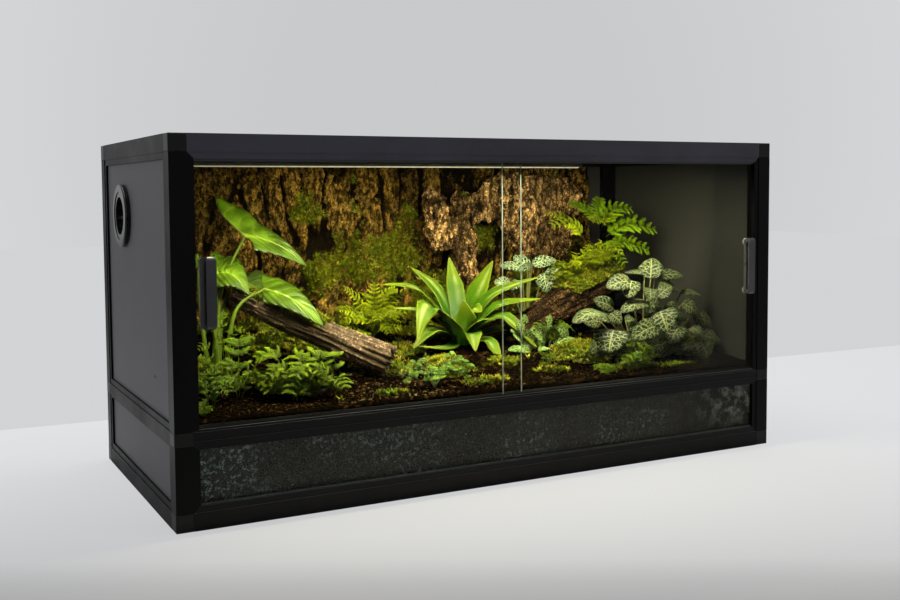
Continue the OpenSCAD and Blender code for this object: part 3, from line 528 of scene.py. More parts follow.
def moulded_plastic(name, tint, rough, grain, specular=0.5):
    """Moulded plastic with a fine grain and faint clouds."""
    look = Look(name)
    fine = look.noise(grain, detail=2)
    cloud = look.noise(14, detail=4)
    return look.surface(
        base_color=look.mix(look.span(cloud, 0.35, 0.7), tint, times(tint, 1.5)),
        roughness=look.span(cloud, 0.3, 0.7, rough, rough + 0.09),
        normal=look.bump(fine, 0.00006, 0.5), specular_ior_level=specular)


def sheet_lining(name, tint, rough):
    """Matt sheet with faint clouds and dried drops."""
    look = Look(name)
    cloud = look.noise(5, detail=6, roughness=0.6)
    drops = look.span(look.cells(70), 0.07, 0.02) * look.span(look.noise(11), 0.5, 0.62)
    base = look.mix(look.span(cloud, 0.3, 0.72), tint, times(tint, 1.45))
    return look.surface(
        base_color=look.mix(drops * 0.35, base, (0.10, 0.095, 0.08)),
        roughness=look.span(cloud, 0.3, 0.7, rough, rough + 0.12),
        normal=look.bump(look.noise(700, detail=2), 0.00005, 0.4), specular_ior_level=0.3)


def float_glass(edge):
    """Clear glass: nearly unseen face on, brighter at a grazing angle, tinted at its cut edges."""
    look = Look("float_glass")
    side, _, top = look.axes(look.node("ShaderNodeNewGeometry", out="True Normal"))
    cut = look.span(abs(side), 0.5, 0.9)
    rim = look.node("ShaderNodeFresnel", None, {"IOR": 1.5})
    film = look.span(look.noise(6, detail=5), 0.45, 0.8) * 0.012
    alpha = look.span(rim, 0.04, 0.7, 0.012, 0.6) + film
    _, _, height = look.axes(look.place())
    bead = look.span(abs(height - WINDOW_BEAD), 0.0009, 0.0004)
    cut = cut.most(bead)
    alpha = alpha.most(cut * 0.86).most(look.span(abs(top), 0.5, 0.9) * 0.5)
    return look.surface(
        base_color=look.mix(cut, (0.05, 0.05, 0.045), edge), alpha=alpha,
        roughness=look.span(look.noise(40, detail=4), 0.3, 0.8, 0.03, 0.09),
        specular_ior_level=0.1)


def clear_pad():
    """Clear soft plastic that sticks the handles to the glass."""
    look = Look("clear_pad")
    rim = look.node("ShaderNodeFresnel", None, {"IOR": 1.45})
    return look.surface(
        base_color=look.mix(look.noise(300), (0.62, 0.66, 0.66), (0.8, 0.83, 0.82)),
        alpha=look.span(rim, 0.03, 0.5, 0.35, 0.9), roughness=0.15)


def lit_lens():
    """Frosted lens, lit from behind by a row of small lamps."""
    look = Look("lit_lens")
    along, _, height = look.axes(look.place())
    glow = look.span(height, *LENS_FACE)
    spot = abs((along * 60.0).wrap() - 0.5)
    warm = look.mix(look.span(spot, 0.0, 0.5), (0.95, 0.90, 0.62), (0.72, 0.64, 0.34))
    # Painted light falloff: the glow is made dimmer towards one end of the lens.
    painted_falloff = look.span(along, *LIT_STRETCH, 0.35, 1.0)
    return look.surface(base_color=look.mix(glow, (0.01, 0.01, 0.009), (0.5, 0.5, 0.42)),
                        roughness=0.5, emission_strength=0.6,
                        emission_color=look.mix(glow * painted_falloff, (0.0, 0.0, 0.0), warm))


def brushed_steel():
    """Bare steel with fine lines across it."""
    look = Look("clip_steel")
    lines = look.noise(60, look.place((1, 40, 1)), detail=3)
    return look.surface(base_color=look.mix(lines, (0.46, 0.46, 0.48), (0.62, 0.62, 0.63)),
                        metallic=1.0, roughness=look.span(lines, 0.3, 0.7, 0.28, 0.42))


def soft_rubber():
    """Dull black rubber."""
    look = Look("grommet_rubber")
    return look.surface(base_color=look.mix(look.noise(200), (0.016, 0.016, 0.017),
                                            (0.03, 0.03, 0.032)),
                        roughness=look.span(look.noise(80), 0.3, 0.7, 0.6, 0.75))


# Name, tint, roughness, grain and gloss of each plastic, and the nodes moulded in it.
PLASTICS = (
    ("track_plastic", (0.007, 0.007, 0.008), 0.35, 600, 0.2, ("low_track",)),
    ("upper_track_plastic", (0.010, 0.010, 0.010), 0.4, 600, 0.5, ("high_track",)),
    ("vent_plastic", (0.005, 0.005, 0.006), 0.18, 500, 0.28,
     ("vent_flange", "vent_nut", "vent_grille", "vent_shutter", "vent_cap")),
    # Painted light: the right handle has the handle plastic made paler.
    ("light_handle_plastic", (0.045, 0.045, 0.05), 0.22, 1200, 0.5, ("right_handle",)),
    ("lamp_housing", (0.012, 0.012, 0.012), 0.4, 700, 0.5, ("light_housing", "light_end_caps")),
)


class TERRARIUM_OT_cabinet(bpy.types.Operator):
    """Finish the rails, posts, connectors, sheets, tracks, vent and handles"""

    bl_idname = "terrarium.cabinet"
    bl_label = "Finish the cabinet"

    def execute(self, context):
        tints = context.scene.terrarium_finishes
        rails = [name for name in NODES if "_rail_" in name and name != "top_rail_front"]
        sills = [name for name in rails if name.endswith("_rail_front")]
        sides = [name for name in rails if "_rail_left" in name]
        posts = [name for name in NODES if "post" in name]
        # Painted light: the top rail takes the rails' coating made 17 times paler.
        for name, tint, specular, ledge_highlight, nodes in (
                ("top_rail_lit_coating", times(tints.profile, 17), 0.30, 0.0, ["top_rail_front"]),
                ("rail_coating", tints.profile, 0.12, 0.0, rails),
                ("sill_coating", tints.profile, 0.12, 0.8, sills),
                ("side_coating", tints.profile, 0.05, 0.0, sides),
                # Painted shade on the posts, by their darker tint.
                ("post_shaded_coating", tints.post, 0.07, 0.0, posts)):
            dress(coated_profile(name, tint, specular, ledge_highlight), *nodes)
        dress(sheet_lining("lining_sheet", tints.lining, 0.55),
              "floor_panel", "lid_panel", "back_panel_upper", "back_panel_lower")
        dress(sheet_lining("right_sheet", (0.0205, 0.0212, 0.0185), 0.36),
              "right_panel_upper", "right_panel_lower")
        # Painted light: the left side sheet is painted a paler grey.
        dress(sheet_lining("side_sheet", tints.side, 0.5), "left_panel_upper", "left_panel_lower")
        dress(moulded_plastic("connector_moulding", tints.moulding, 0.34, 700, 0.16),
              "bottom_corners", "top_corners", "tee_connectors")
        dress(moulded_plastic("handle_plastic", tints.handle, 0.26, 1200), "left_handle")
        for *finish, nodes in PLASTICS:
            dress(moulded_plastic(*finish), *nodes)
        dress(clear_pad(), "left_handle_pads", "right_handle_pads")
        dress(brushed_steel(), "light_clips")
        dress(soft_rubber(), "cable_grommet")
        return {"FINISHED"}


class TERRARIUM_OT_glass(bpy.types.Operator):
    """Give the panes and the lower window clear glass, and light the bar's lens"""

    bl_idname = "terrarium.glass"
    bl_label = "Glaze and light"

    def execute(self, context):
        dress(float_glass(context.scene.terrarium_finishes.edge),
              "left_pane", "right_pane", "front_window")
        dress(lit_lens(), "light_lens")
        return {"FINISHED"}


# ------------------------------------------------------------------ stage


# The camera stands at a place in metres and is turned right, down and over, in degrees.
CAMERA_PLACE = (-0.9870, -1.8913, 0.5208)
CAMERA_TURN = (27.923, 3.534, -0.402)
CAMERA_SHIFT = -0.0488
# Each lamp's place, target and size in metres.
KEY_LAMP = ((0.3, 0.5, 3.4), (0.1, 0.0, 0.0), (4.0, 3.6))
SIDE_LAMP = ((-3.4, 0.6, 1.5), (-0.6, 0.1, 0.3), (1.6, 1.6))
BAR_LAMP = (at(530, 62, 552), at(530, 94, 300), (0.98, 0.016))
# The way towards which the sky's backdrop is painted darker, as painted shade, and the floor's edges
# in millimetres.
BACKDROP_WAY = (0.467, 0.882, 0.06)
FLOOR_LEFT, FLOOR_RIGHT, FLOOR_NEAR, FLOOR_FAR = -8000, 9000, -7000, 9000
# How bright the floor is painted from its near side to its far side: a painted fall-off of light.
FLOOR_TONES = ((0.0, 0.50), (0.07, 0.61), (0.135, 0.77), (0.21, 0.83),
               (0.33, 0.89), (0.44, 0.93), (0.57, 0.98), (1.0, 1.0))


def lamp(name, place, target, size, watts, tint):
    """A soft rectangular lamp that points at a target."""
    light = bpy.data.lights.new(name, "AREA")
    light.shape = "RECTANGLE"
    light.size, light.size_y = size
    light.energy = watts
    light.color = tint
    holder = bpy.data.objects.new(name, light)
    holder.location = place
    holder.rotation_euler = (Vector(target) - Vector(place)).to_track_quat("-Z", "Y").to_euler()
    bpy.context.scene.collection.objects.link(holder)
    return holder


def flat_piece(name, corners, material):
    """A flat stage piece through four corners."""
    bm = bmesh.new()
    bmesh.ops.contextual_create(bm, geom=[bm.verts.new(c) for c in corners])
    piece = bpy.data.objects.new(name, to_mesh(bm, name))
    piece.data.materials.append(material)
    bpy.context.scene.collection.objects.link(piece)


def even_finish(look, tone, share):
    """Closes a matt look that shows the camera its own tone, by a share of 0 to 1."""
    lit = look.node("ShaderNodeBsdfDiffuse", None, {"Color": tone})
    even = look.node("ShaderNodeEmission", None, {"Color": tone})
    seen = look.node("ShaderNodeLightPath", out="Is Camera Ray")
    return look.blend(seen * share, lit, even)


class TERRARIUM_OT_stage(bpy.types.Operator):
    """Set the camera, the lamps, the floor and the backdrop"""

    bl_idname = "terrarium.stage"
    bl_label = "Set the stage"

    def execute(self, context):
        scene = context.scene
        stage = scene.terrarium_stage
        self.camera(scene, stage.lens)
        scene.view_settings.view_transform = "Standard"
        self.sky(scene, stage)
        lamp("key", *KEY_LAMP, stage.key, (1.0, 0.995, 0.98))
        side = lamp("side", *SIDE_LAMP, stage.key * 0.17, (1, 1, 1))
        side.visible_glossy = False
        bar = lamp("bar", *BAR_LAMP, stage.bar, (1.0, 0.93, 0.62))
        bar.visible_camera = False
        self.floor(stage)
        return {"FINISHED"}

    @staticmethod
    def camera(scene, lens):
        """Stands the camera at its place and turns it."""
        yaw, pitch, roll = (math.radians(a) for a in CAMERA_TURN)
        ahead = Vector((math.sin(yaw) * math.cos(pitch), math.cos(yaw) * math.cos(pitch),
                        -math.sin(pitch)))
        right = Vector((math.cos(yaw), -math.sin(yaw), 0.0))
        up = right.cross(ahead)
        right, up = (math.cos(roll) * right + math.sin(roll) * up,
                     math.cos(roll) * up - math.sin(roll) * right)
        data = bpy.data.cameras.new("camera")
        data.lens = lens
        data.sensor_width = 36.0
        data.shift_y = CAMERA_SHIFT
        camera = bpy.data.objects.new("camera", data)
        camera.matrix_world = Matrix.Translation(CAMERA_PLACE) @ \
            Matrix((right, up, -ahead)).transposed().to_4x4()
        scene.collection.objects.link(camera)
        scene.camera = camera

    @staticmethod
    def sky(scene, stage):
        """Weak light from all around, behind which the backdrop's grey is seen."""
        look = Look("studio", world=True)
        way = look.node("ShaderNodeTexCoord", out="Generated")
        facing = look.node("ShaderNodeVectorMath", {"operation": "DOT_PRODUCT"},
                           {0: way, 1: BACKDROP_WAY}, "Value")
        # Painted shade: the backdrop's grey is darker towards BACKDROP_WAY and paler aside.
        tone = look.mix(look.span(facing, 0.90, 0.99), times(stage.backdrop, 1.05),
                        times(stage.backdrop, 0.90))
        light = look.node("ShaderNodeBackground", None,
                          {"Color": (0.97, 0.985, 1.0), "Strength": stage.sky})
        seen = look.node("ShaderNodeBackground", None, {"Color": tone})
        direct, mirrored, through = (look.node("ShaderNodeLightPath", out=f"Is {kind} Ray")
                                     for kind in ("Camera", "Glossy", "Transmission"))
        scene.world = look.blend(direct.most(mirrored).most(through), light, seen)

    @staticmethod
    def floor(stage):
        """Lays a pale floor that ends in a grey backdrop on the same level."""
        look = Look("pale_floor")
        across, away, _ = look.axes(look.place())
        depth = across * 0.468 + away * 0.884 + look.noise(30, detail=4) * 0.01
        # Painted light: the floor's tone grows paler towards its far side.
        tone = look.ramp(look.span(depth, -0.82, 0.58),
                         [(part, times(stage.floor, share)) for part, share in FLOOR_TONES])
        pale = even_finish(look, tone, 0.8)
        grey = even_finish(Look("backdrop_grey"), stage.backdrop, 1.0)
        left, right = at(FLOOR_LEFT, 1234, 0), at(FLOOR_RIGHT, 540, 0)
        flat_piece("floor", (at(FLOOR_LEFT, FLOOR_NEAR, 0), at(FLOOR_RIGHT, FLOOR_NEAR, 0),
                             right, left), pale)
        flat_piece("backdrop", (left, right, at(FLOOR_RIGHT, FLOOR_FAR, 0),
                                at(FLOOR_LEFT, FLOOR_FAR, 0)), grey)


# ------------------------------------------------------------------ earth, bark and moss


# The most tufts of moss that one piece holds.
MOST_TUFTS = 8800


def skirt(bm, shape):
    """Draws the border of an open sheet out by shape() and fills it, so the sheet is closed."""
    border = [edge for edge in bm.edges if edge.is_boundary]
    made = bmesh.ops.extrude_edge_only(bm, edges=border)["geom"]
    for item in made:
        if isinstance(item, bmesh.types.BMVert):
            item.co = shape(item.co)
    bmesh.ops.edgeloop_fill(bm, edges=[edge for edge in bm.edges if edge.is_boundary])
    bmesh.ops.recalc_face_normals(bm, faces=bm.faces)


def patch(a, b, patches):
    """Strongest of several soft round patches: (a, b, reach a, reach b, strength)."""
    return max((s * math.exp(-((a - pa) / ra) ** 2 - ((b - pb) / rb) ** 2)
                for pa, pb, ra, rb, s in patches), default=0.0)


GROUND_MOSS = (
    (90, 262, 70, 34, 1.0), (300, 388, 80, 60, 1.0), (618, 384, 60, 50, 1.0),
    (880, 190, 80, 36, 1.0), (560, 180, 60, 34, 0.9), (1120, 172, 80, 40, 0.8),
    (1046, 412, 60, 50, 1.0), (455, 210, 60, 42, 1.0), (420, 330, 90, 60, 1.0),
    (520, 300, 60, 60, 0.8), (700, 190, 60, 26, 0.7), (760, 120, 50, 20, 0.8),
    (930, 80, 60, 20, 0.9), (400, 70, 40, 14, 0.7), (610, 92, 60, 22, 0.6),
    (240, 160, 70, 36, 0.7), (1010, 60, 90, 14, 0.5), (860, 330, 80, 60, 0.8),
)
WALL_MOSS = (
    (395, 478, 34, 44, 1.0), (430, 350, 60, 60, 0.9), (560, 372, 120, 70, 1.0),
    (330, 300, 90, 46, 0.9), (810, 415, 46, 46, 1.0), (700, 300, 90, 50, 0.9),
    (980, 520, 60, 60, 0.35), (900, 300, 120, 40, 0.8), (120, 280, 90, 34, 0.7),
    (505, 500, 26, 60, 0.45), (1060, 380, 60, 80, 0.6), (620, 440, 40, 60, 0.7),
)
WALL_HOLLOWS = (
    (420, 405, 42, 34, 1.0), (690, 330, 60, 26, 0.7), (800, 418, 44, 34, 1.0),
    (140, 330, 90, 40, 0.6), (722, 508, 26, 46, 0.8), (300, 330, 60, 26, 0.5),
)


# The soil's sides, front and back and the underside of its top layer, and the fineness of
# the bark wall, the logs and the trunk, in millimetres.
SOIL_LEFT, SOIL_RIGHT, SOIL_FRONT, SOIL_BACK = 11.8, 1188.2, 28.9, 507.1
SOIL_SPLIT = 150.2
WALL_STEP, LOG_STEP, TRUNK_STEP = 2.4, 3.2, 3.0


def ground_moss(x, y):
    """How much moss covers a place on the soil, 0 to 1."""
    return clamp(patch(x, y, GROUND_MOSS) * 1.25 + 0.45 * fuzz(x / 45, y / 45, 1.7, 3) - 0.12)


def wall_moss(x, z):
    """How much moss covers a place on the bark wall, 0 to 1."""
    foot = 0.75 * smooth((330 - z) / 90)
    return clamp(max(patch(x, z, WALL_MOSS), foot) * 1.2 + 0.5 * fuzz(x / 30, z / 38, 9.1, 4)
                 - 0.18)


def wall_depth(x, z):
    """How far the cork bark stands out, in millimetres, and how high its ridges are, 0 to 1."""
    warp = 14 * fuzz(x / 90, z / 120, 4.4, 2)
    broad = 13 * fuzz(x / 120, z / 150, 0.3, 3)
    crack = 1 - abs(noise.noise(Vector(((x + warp) / 46, z / 220, 8.8)))) * 1.6
    large = abs(noise.noise(Vector(((x + warp) / 32, z / 78, 5.5))))
    middle = abs(noise.noise(Vector(((x + warp) / 14, z / 30, 3.5))))
    small = abs(noise.noise(Vector((x / 6.5, z / 11, 1.5))))
    fine = 2.6 * fuzz(x / 5, z / 6, 6.1, 3, 0.6)
    hollow = 17 * patch(x, z, WALL_HOLLOWS)
    lumps = 15 * large + 13 * middle + 7 * small + fine
    furrow = 52 * clamp(crack - 0.72)
    # The second value is low in furrows and hollows, where bark_look paints shade.
    return clamp(19 + broad + lumps - furrow - hollow, 7.0, 49.0), \
        clamp(0.08 + 1.1 * large + 1.5 * middle + 0.8 * small - furrow / 16 - hollow / 15)


def bark_look(name, lit, crevice_shade, grey, moss_tint, stretch=(1, 1, 0.55)):
    """Rough bark: furrows, pits and hollows darkened with painted shade, lit ridges with painted
    glints, flakes of two browns and a film of moss.
    """
    look = Look(name)
    relief = look.attribute("relief")
    moss = look.attribute("moss")
    where = look.place(stretch)
    patchy = look.noise(14, where, 6, 0.65)
    speckle = look.noise(230, None, 5, 0.7)
    grain = look.noise(330, where, 4, 0.6)
    pits = look.noise(115, where, 6, 0.72)
    tone = look.mix(look.span(patchy, 0.36, 0.66), lit, grey)
    # Painted glints: bright speckles of the lit tone.
    tone = look.mix(look.span(speckle, 0.52, 0.70) * 0.8, tone, times(lit, 3.7))
    # Painted shade: low relief, in furrows and hollows, takes the near-black crevice colour; pits
    # and grain lines darken towards it too.
    tone = look.mix(look.span(relief + speckle * 0.3, 0.40, 0.85), crevice_shade, tone)
    tone = look.mix(look.span(pits, 0.57, 0.46) * 0.92, tone, crevice_shade)
    tone = look.mix(look.span(grain, 0.52, 0.3) * 0.7, tone, crevice_shade)
    # Painted shade: random vertical bands darkened towards the crevice colour.
    shade_bands = look.span(look.noise(13, look.place((1, 1, 0.35)), 4, 0.6), 0.54, 0.40)
    tone = look.mix(shade_bands * 0.7, tone, crevice_shade)
    green = look.mix(look.span(look.noise(55, detail=5), 0.35, 0.7), moss_tint,
                     times(moss_tint, 0.3))
    cover = look.span(moss + (speckle - 0.5) * 0.7, 0.3, 0.75)
    height = relief * 0.5 + speckle * 0.35 + grain * 0.3 + pits * 0.7
    return look.surface(
        base_color=look.mix(cover * 0.85, tone, green),
        roughness=look.span(speckle, 0.3, 0.8, 0.72, 0.95),
        normal=look.bump(height, 0.0035, 0.75), specular_ior_level=0.02)


def soil_look(tint, moss_tint):
    """Dark moist soil with chips in it and a film of moss."""
    look = Look("moist_soil")
    crumbs = look.noise(150, detail=6, roughness=0.7)
    chip, _, _ = look.axes(look.cells(140, out="Color"))
    cover = look.span(look.attribute("moss") + (crumbs - 0.5) * 0.6, 0.3, 0.8)
    base = look.mix(look.span(crumbs, 0.3, 0.75), times(tint, 0.4), times(tint, 2.4))
    base = look.mix((chip > 0.88) * 0.8, base, (0.022, 0.011, 0.004))
    base = look.mix(cover * 0.8, base, times(moss_tint, 0.35))
    return look.surface(
        base_color=base, roughness=look.span(look.noise(16, detail=4), 0.35, 0.65, 0.55, 0.9),
        normal=look.bump(crumbs + chip * 0.4, 0.004, 0.8), specular_ior_level=0.0)


def window_soil_look():
    """Soil pressed against the lower window: a fine dark net with flecks of root, and pale specks of
    grit that also serve as painted glints.
    """
    look = Look("window_soil")
    along, _, height = look.axes(look.place())
    net = look.cells(330, feature="DISTANCE_TO_EDGE")
    cloud = look.noise(9, detail=6, roughness=0.65)
    fleck = look.noise(150, detail=5, roughness=0.75)
    spread = look.span(look.noise(13, detail=3), 0.45, 0.62)
    left = look.span(along, -0.42, -0.56)
    right = look.span(along, 0.40, 0.52)
    base = look.mix(look.span(cloud, 0.35, 0.7), (0.010, 0.010, 0.0095),
                    (0.036, 0.036, 0.034))
    base = look.mix(look.span(net, 0.22, 0.0) * (1 - right * 0.7), base, (0.12, 0.124, 0.120))
    cold = look.span(fleck, 0.54, 0.60) * (spread * 0.6 + left).least(1.0)
    base = look.mix(cold * 0.8, base, (0.36, 0.47, 0.50))
    crust = look.noise(52, detail=5, roughness=0.75)
    pale = look.span(crust, 0.46, 0.58) * right * look.span(height, 0.03, 0.08)
    base = look.mix(pale * look.span(fleck, 0.36, 0.5), base, (0.80, 0.86, 0.74))
    mauve = look.span(along, 0.520, 0.532) * look.span(height, 0.108, 0.114)
    base = look.mix(mauve * look.span(cloud, 0.3, 0.6), base, (0.36, 0.35, 0.42))
    # Pale specks: grit, and painted glints.
    grit_and_glints = look.span(look.noise(260, detail=2), 0.70, 0.76)
    base = look.mix(grit_and_glints * 0.8, base, (0.5, 0.48, 0.40))
    low = look.span(height, 0.062, 0.03) * look.span(along, -0.1, 0.45)
    base = look.mix(low * look.span(fleck, 0.4, 0.6), base, (0.10, 0.08, 0.024))
    return look.surface(base_color=base, roughness=0.85, specular_ior_level=0.2,
                        normal=look.bump(fleck + net * 2, 0.002, 0.6))


def bed_mesh():
    """The raked, uneven top of the soil."""
    bm = sheet(150, 340, lambda u, v: at(lerp(SOIL_LEFT, SOIL_RIGHT, (u + 1) / 2),
                                         lerp(SOIL_FRONT, SOIL_BACK, v), 0), weld=False)
    for vert in bm.verts:
        x, y, _ = in_mm(vert.co)
        vert.co.z = ground(x, y) * MM
    skirt(bm, lambda co: Vector((co.x, co.y, SOIL_SPLIT * MM)))
    mesh = to_mesh(bm, "soil_bed")
    mark(mesh, "moss", [ground_moss(*in_mm(v.co)[:2]) for v in mesh.vertices])
    return mesh


def window_soil_mesh():
    """The deep layer of soil, whose front lies against the lower window."""
    bm = sheet(46, 380, lambda u, v: at(lerp(SOIL_LEFT, SOIL_RIGHT, (u + 1) / 2), 11.6,
                                        lerp(11.3, 150.0, v)), weld=False)
    for vert in bm.verts:
        x, _, z = in_mm(vert.co)
        vert.co.y += clamp(1.1 + 1.1 * fuzz(x / 11, z / 9, 3.3, 3), 0, 2.6) * MM
    skirt(bm, lambda co: Vector((co.x, at(0, 507, 0).y, co.z)))
    return to_mesh(bm, "window_soil")


def wall_mesh():
    """The cork bark that lines the back."""
    low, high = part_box("bark_wall")
    x0, _, z0 = in_mm(low)
    x1, back, z1 = in_mm(high)
    bm = sheet(int((z1 - z0) / WALL_STEP), int((x1 - x0) / WALL_STEP),
               lambda u, v: at(lerp(x0, x1, (u + 1) / 2), back, lerp(z0, z1, v)), weld=False)
    relief, moss = [], []
    for vert in bm.verts:
        x, _, z = in_mm(vert.co)
        depth, rise = wall_depth(x, z)
        vert.co.y -= depth * MM
        relief.append(rise)
        moss.append(wall_moss(x, z))
    skirt(bm, lambda co: Vector((co.x, high.y, co.z)))
    mesh = to_mesh(bm, "cork_wall")
    behind = len(mesh.vertices) - len(relief)
    mark(mesh, "relief", relief + [0.2] * behind)
    mark(mesh, "moss", moss + [0.0] * behind)
    return mesh


def in_order(bm):
    """Sorts points and faces by place, because turning a profile gives them in any order."""
    def rank(place):
        x, y, z = (round(c / MM, 2) for c in place)
        return (x * 4000 + y) * 4000 + z

    bm.verts.sort(key=lambda vert: rank(vert.co))
    bm.verts.index_update()
    bm.faces.sort(key=lambda face: rank(face.calc_center_median()))
    bm.faces.index_update()


def carved(name, node, voxel, depth, rounds):
    """A CAD solid remade as a fine even skin, smoothed and worn along its normals by depth()."""
    bm = bmesh.new()
    bm.from_mesh(NODES[node].data)
    bmesh.ops.remove_doubles(bm, verts=bm.verts, dist=1e-6)
    holder = bpy.data.objects.new(name, to_mesh(bm, name))
    bpy.context.scene.collection.objects.link(holder)
    remesh = holder.modifiers.new("skin", "REMESH")
    remesh.mode = "VOXEL"
    remesh.voxel_size = voxel * MM
    graph = bpy.context.evaluated_depsgraph_get()
    mesh = bpy.data.meshes.new_from_object(holder.evaluated_get(graph))
    bpy.data.objects.remove(holder)
    bm = bmesh.new()
    bm.from_mesh(mesh)
    bpy.data.meshes.remove(mesh)
    for _ in range(rounds):
        bmesh.ops.smooth_vert(bm, verts=bm.verts, factor=0.6, use_axis_x=True,
                              use_axis_y=True, use_axis_z=True)
    bm.normal_update()
    relief = []
    for vert, normal in [(v, v.normal.copy()) for v in bm.verts]:
        out = depth(vert.co)
        relief.append(out)
        vert.co += normal * out * MM
    mesh = to_mesh(bm, name)
    low, high = min(relief), max(relief)
    mark(mesh, "relief", [(r - low) / (high - low) for r in relief])
    return mesh


def trunk_depth(place):
    """How far the trunk's ribbed bark stands out at a place, in millimetres."""
    x, y, z = (place / MM).to_tuple()
    rib = 1 - abs(noise.noise(Vector((x / 17, y / 30, z / 70 + 3)))) * 2.4
    return 4.5 * rib + 8.0 * fuzz(x / 30, y / 34, z / 42 + 1, 3) \
        + 4.2 * fuzz(x / 9, y / 12, z / 16, 4, 0.62) + 1.8 * fuzz(x / 4, y / 5, z / 6, 2) - 4.5


class Log:
    """A fallen log: a turned skin with a rough rim, worn by weather and hollow at one end."""

    def __init__(self, foot, head, foot_r, head_r, flat, hollow, seed):
        self.foot, self.head = foot, head
        self.foot_r, self.head_r = foot_r, head_r
        self.flat, self.hollow, self.seed = flat, hollow, seed
        self.length = (head - foot).length / MM
        self.frame = basis(foot, head - foot, Vector((0, 0, 1)))

    def profile(self):
        """Radius and height pairs from the closed foot over the rim and down the hollow."""
        length, r0, r1 = self.length, self.foot_r, self.head_r
        points = [(0.0, 5.0), (r0 * 0.55, 1.0), (r0 * 0.9, 0.0)]
        steps = int(length / LOG_STEP)
        for i in range(1, steps):
            t = i / steps
            points.append((lerp(r0, r1, t) * (1 + 0.05 * math.sin(t * 9 + self.seed)),
                           length * t))
        points += [(r1 * 0.96, length), (r1 * 0.80, length - 1)]
        depth = self.hollow
        for i in range(1, 14):
            t = i / 14
            points.append((r1 * lerp(0.74, 0.34, t ** 2), length - 2 - depth * t))
        points.append((0.0, length - depth - 6))
        return points

    def mesh(self, name):
        """The profile turned round the log's axis and worn, with its relief marked."""
        bm = bmesh.new()
        line = [bm.verts.new((height * MM, 0, radius * MM)) for radius, height in self.profile()]
        edges = [bm.edges.new(pair) for pair in zip(line, line[1:])]
        bmesh.ops.spin(bm, geom=line + edges, cent=(0, 0, 0), axis=(1, 0, 0), dvec=(0, 0, 0),
                       angle=math.tau, steps=110, use_merge=True)
        bmesh.ops.remove_doubles(bm, verts=bm.verts, dist=2e-5)
        bmesh.ops.recalc_face_normals(bm, faces=bm.faces)
        in_order(bm)
        relief = []
        s = self.seed
        inner = self.length - self.hollow
        for vert in bm.verts:
            h, y, z = (vert.co / MM).to_tuple()
            radius = math.hypot(y, z)
            if radius < 1e-4:
                relief.append(0.1)
                continue
            cy, cz = y / radius, z / radius
            local = lerp(self.foot_r, self.head_r, clamp(h / self.length))
            inside = h > inner and radius < local * 0.78
            rib = 1 - abs(noise.noise(Vector((cy * 2.6 + s, cz * 2.6, h / 150)))) * 2.0
            streak = fuzz(cy * 7 + s, cz * 7, h / 60, 4, 0.6)
            chunk = fuzz(cy * 1.3, cz * 1.3 + s, h / 70, 3)
            out = 0.10 * local * chunk + 4.0 * rib + 3.0 * streak - 3.5
            ragged = 7 * fuzz(cy * 3, cz * 3, s, 3) * smooth((h - self.length + 30) / 30)
            if inside:
                out = -2.5 * streak - 2
            vert.co.x += ragged * MM
            vert.co.y += cy * out * MM
            vert.co.z += cz * out * MM
            # The hollow's low relief makes bark_look paint shade in it.
            relief.append(0.12 if inside else clamp(0.5 + out / 14))
        bmesh.ops.scale(bm, vec=(1, 1, self.flat), verts=bm.verts)
        bmesh.ops.transform(bm, matrix=self.frame, verts=bm.verts)
        mesh = to_mesh(bm, name)
        mark(mesh, "relief", relief)
        return mesh


def moss_tuft(rng, blades):
    """A few narrow pointed leaves that spring from one point, one unit high."""
    parts = []
    for i in range(blades):
        turn = Matrix.Rotation(math.tau * (i + rng.random() * 0.6) / blades, 3, "Z")
        lean = rng.uniform(0.35, 1.0)
        width = rng.uniform(0.16, 0.26)
        reach = rng.uniform(0.75, 1.15)

        def shape(u, v, turn=turn, lean=lean, width=width, reach=reach):
            half = width * (1 - v) * (0.55 + 1.6 * v)
            return turn @ Vector((lean * v * (0.5 + 0.5 * v), u * half, reach * v * (1.2 - 0.3 * v)))

        parts.append(sheet(2, 1, shape))
    return to_mesh(joined(parts), "tuft")


def sprinkle(mesh, weight, density, rng):
    """Random places on a mesh, as (point, normal), so many a square metre times weight()."""
    spots = []
    for face in mesh.polygons:
        share = weight(face.center, face.normal)
        if share <= 0:
            continue
        wanted = face.area * density * share
        number = int(wanted) + (rng.random() < wanted % 1)
        corners = [mesh.vertices[i].co for i in face.vertices]
        for _ in range(number):
            a, b = rng.random(), rng.random()
            if len(corners) == 4:
                point = lerp(lerp(corners[0], corners[1], a), lerp(corners[3], corners[2], a), b)
            else:
                a, b = (a, b) if a + b < 1 else (1 - a, 1 - b)
                point = corners[0] + (corners[1] - corners[0]) * a + (corners[2] - corners[0]) * b
            spots.append((point, face.normal.copy()))
    return spots


def plant_tufts(name, spots, size, rng, look, lift=0.55):
    """Tufts of moss on many spots, as one piece. lift turns them from the surface upwards."""
    templates = [moss_tuft(random.Random(50 + i), 5 + i % 2) for i in range(4)]
    if len(spots) > MOST_TUFTS:
        spots = rng.sample(spots, MOST_TUFTS)
    places, shades = [], []
    for point, normal in spots:
        up = (normal * (1 - lift) + Vector((0, 0, lift))
              + Vector((rng.uniform(-0.3, 0.3), rng.uniform(-0.3, 0.3), 0))).normalized()
        grown = size * rng.uniform(0.55, 1.3)
        wide = grown * rng.uniform(0.9, 1.25)
        turn = up.to_track_quat("Z", "Y").to_matrix() @ Matrix.Rotation(
            rng.random() * math.tau, 3, "Z") @ Matrix.Diagonal((wide, wide, grown))
        places.append((rng.randrange(4), Matrix.Translation(point - up * size * 0.12)
                       @ turn.to_4x4()))
        shades.append(rng.random())
    object_of(name, copies(name, templates, places, shades), look, "moss")


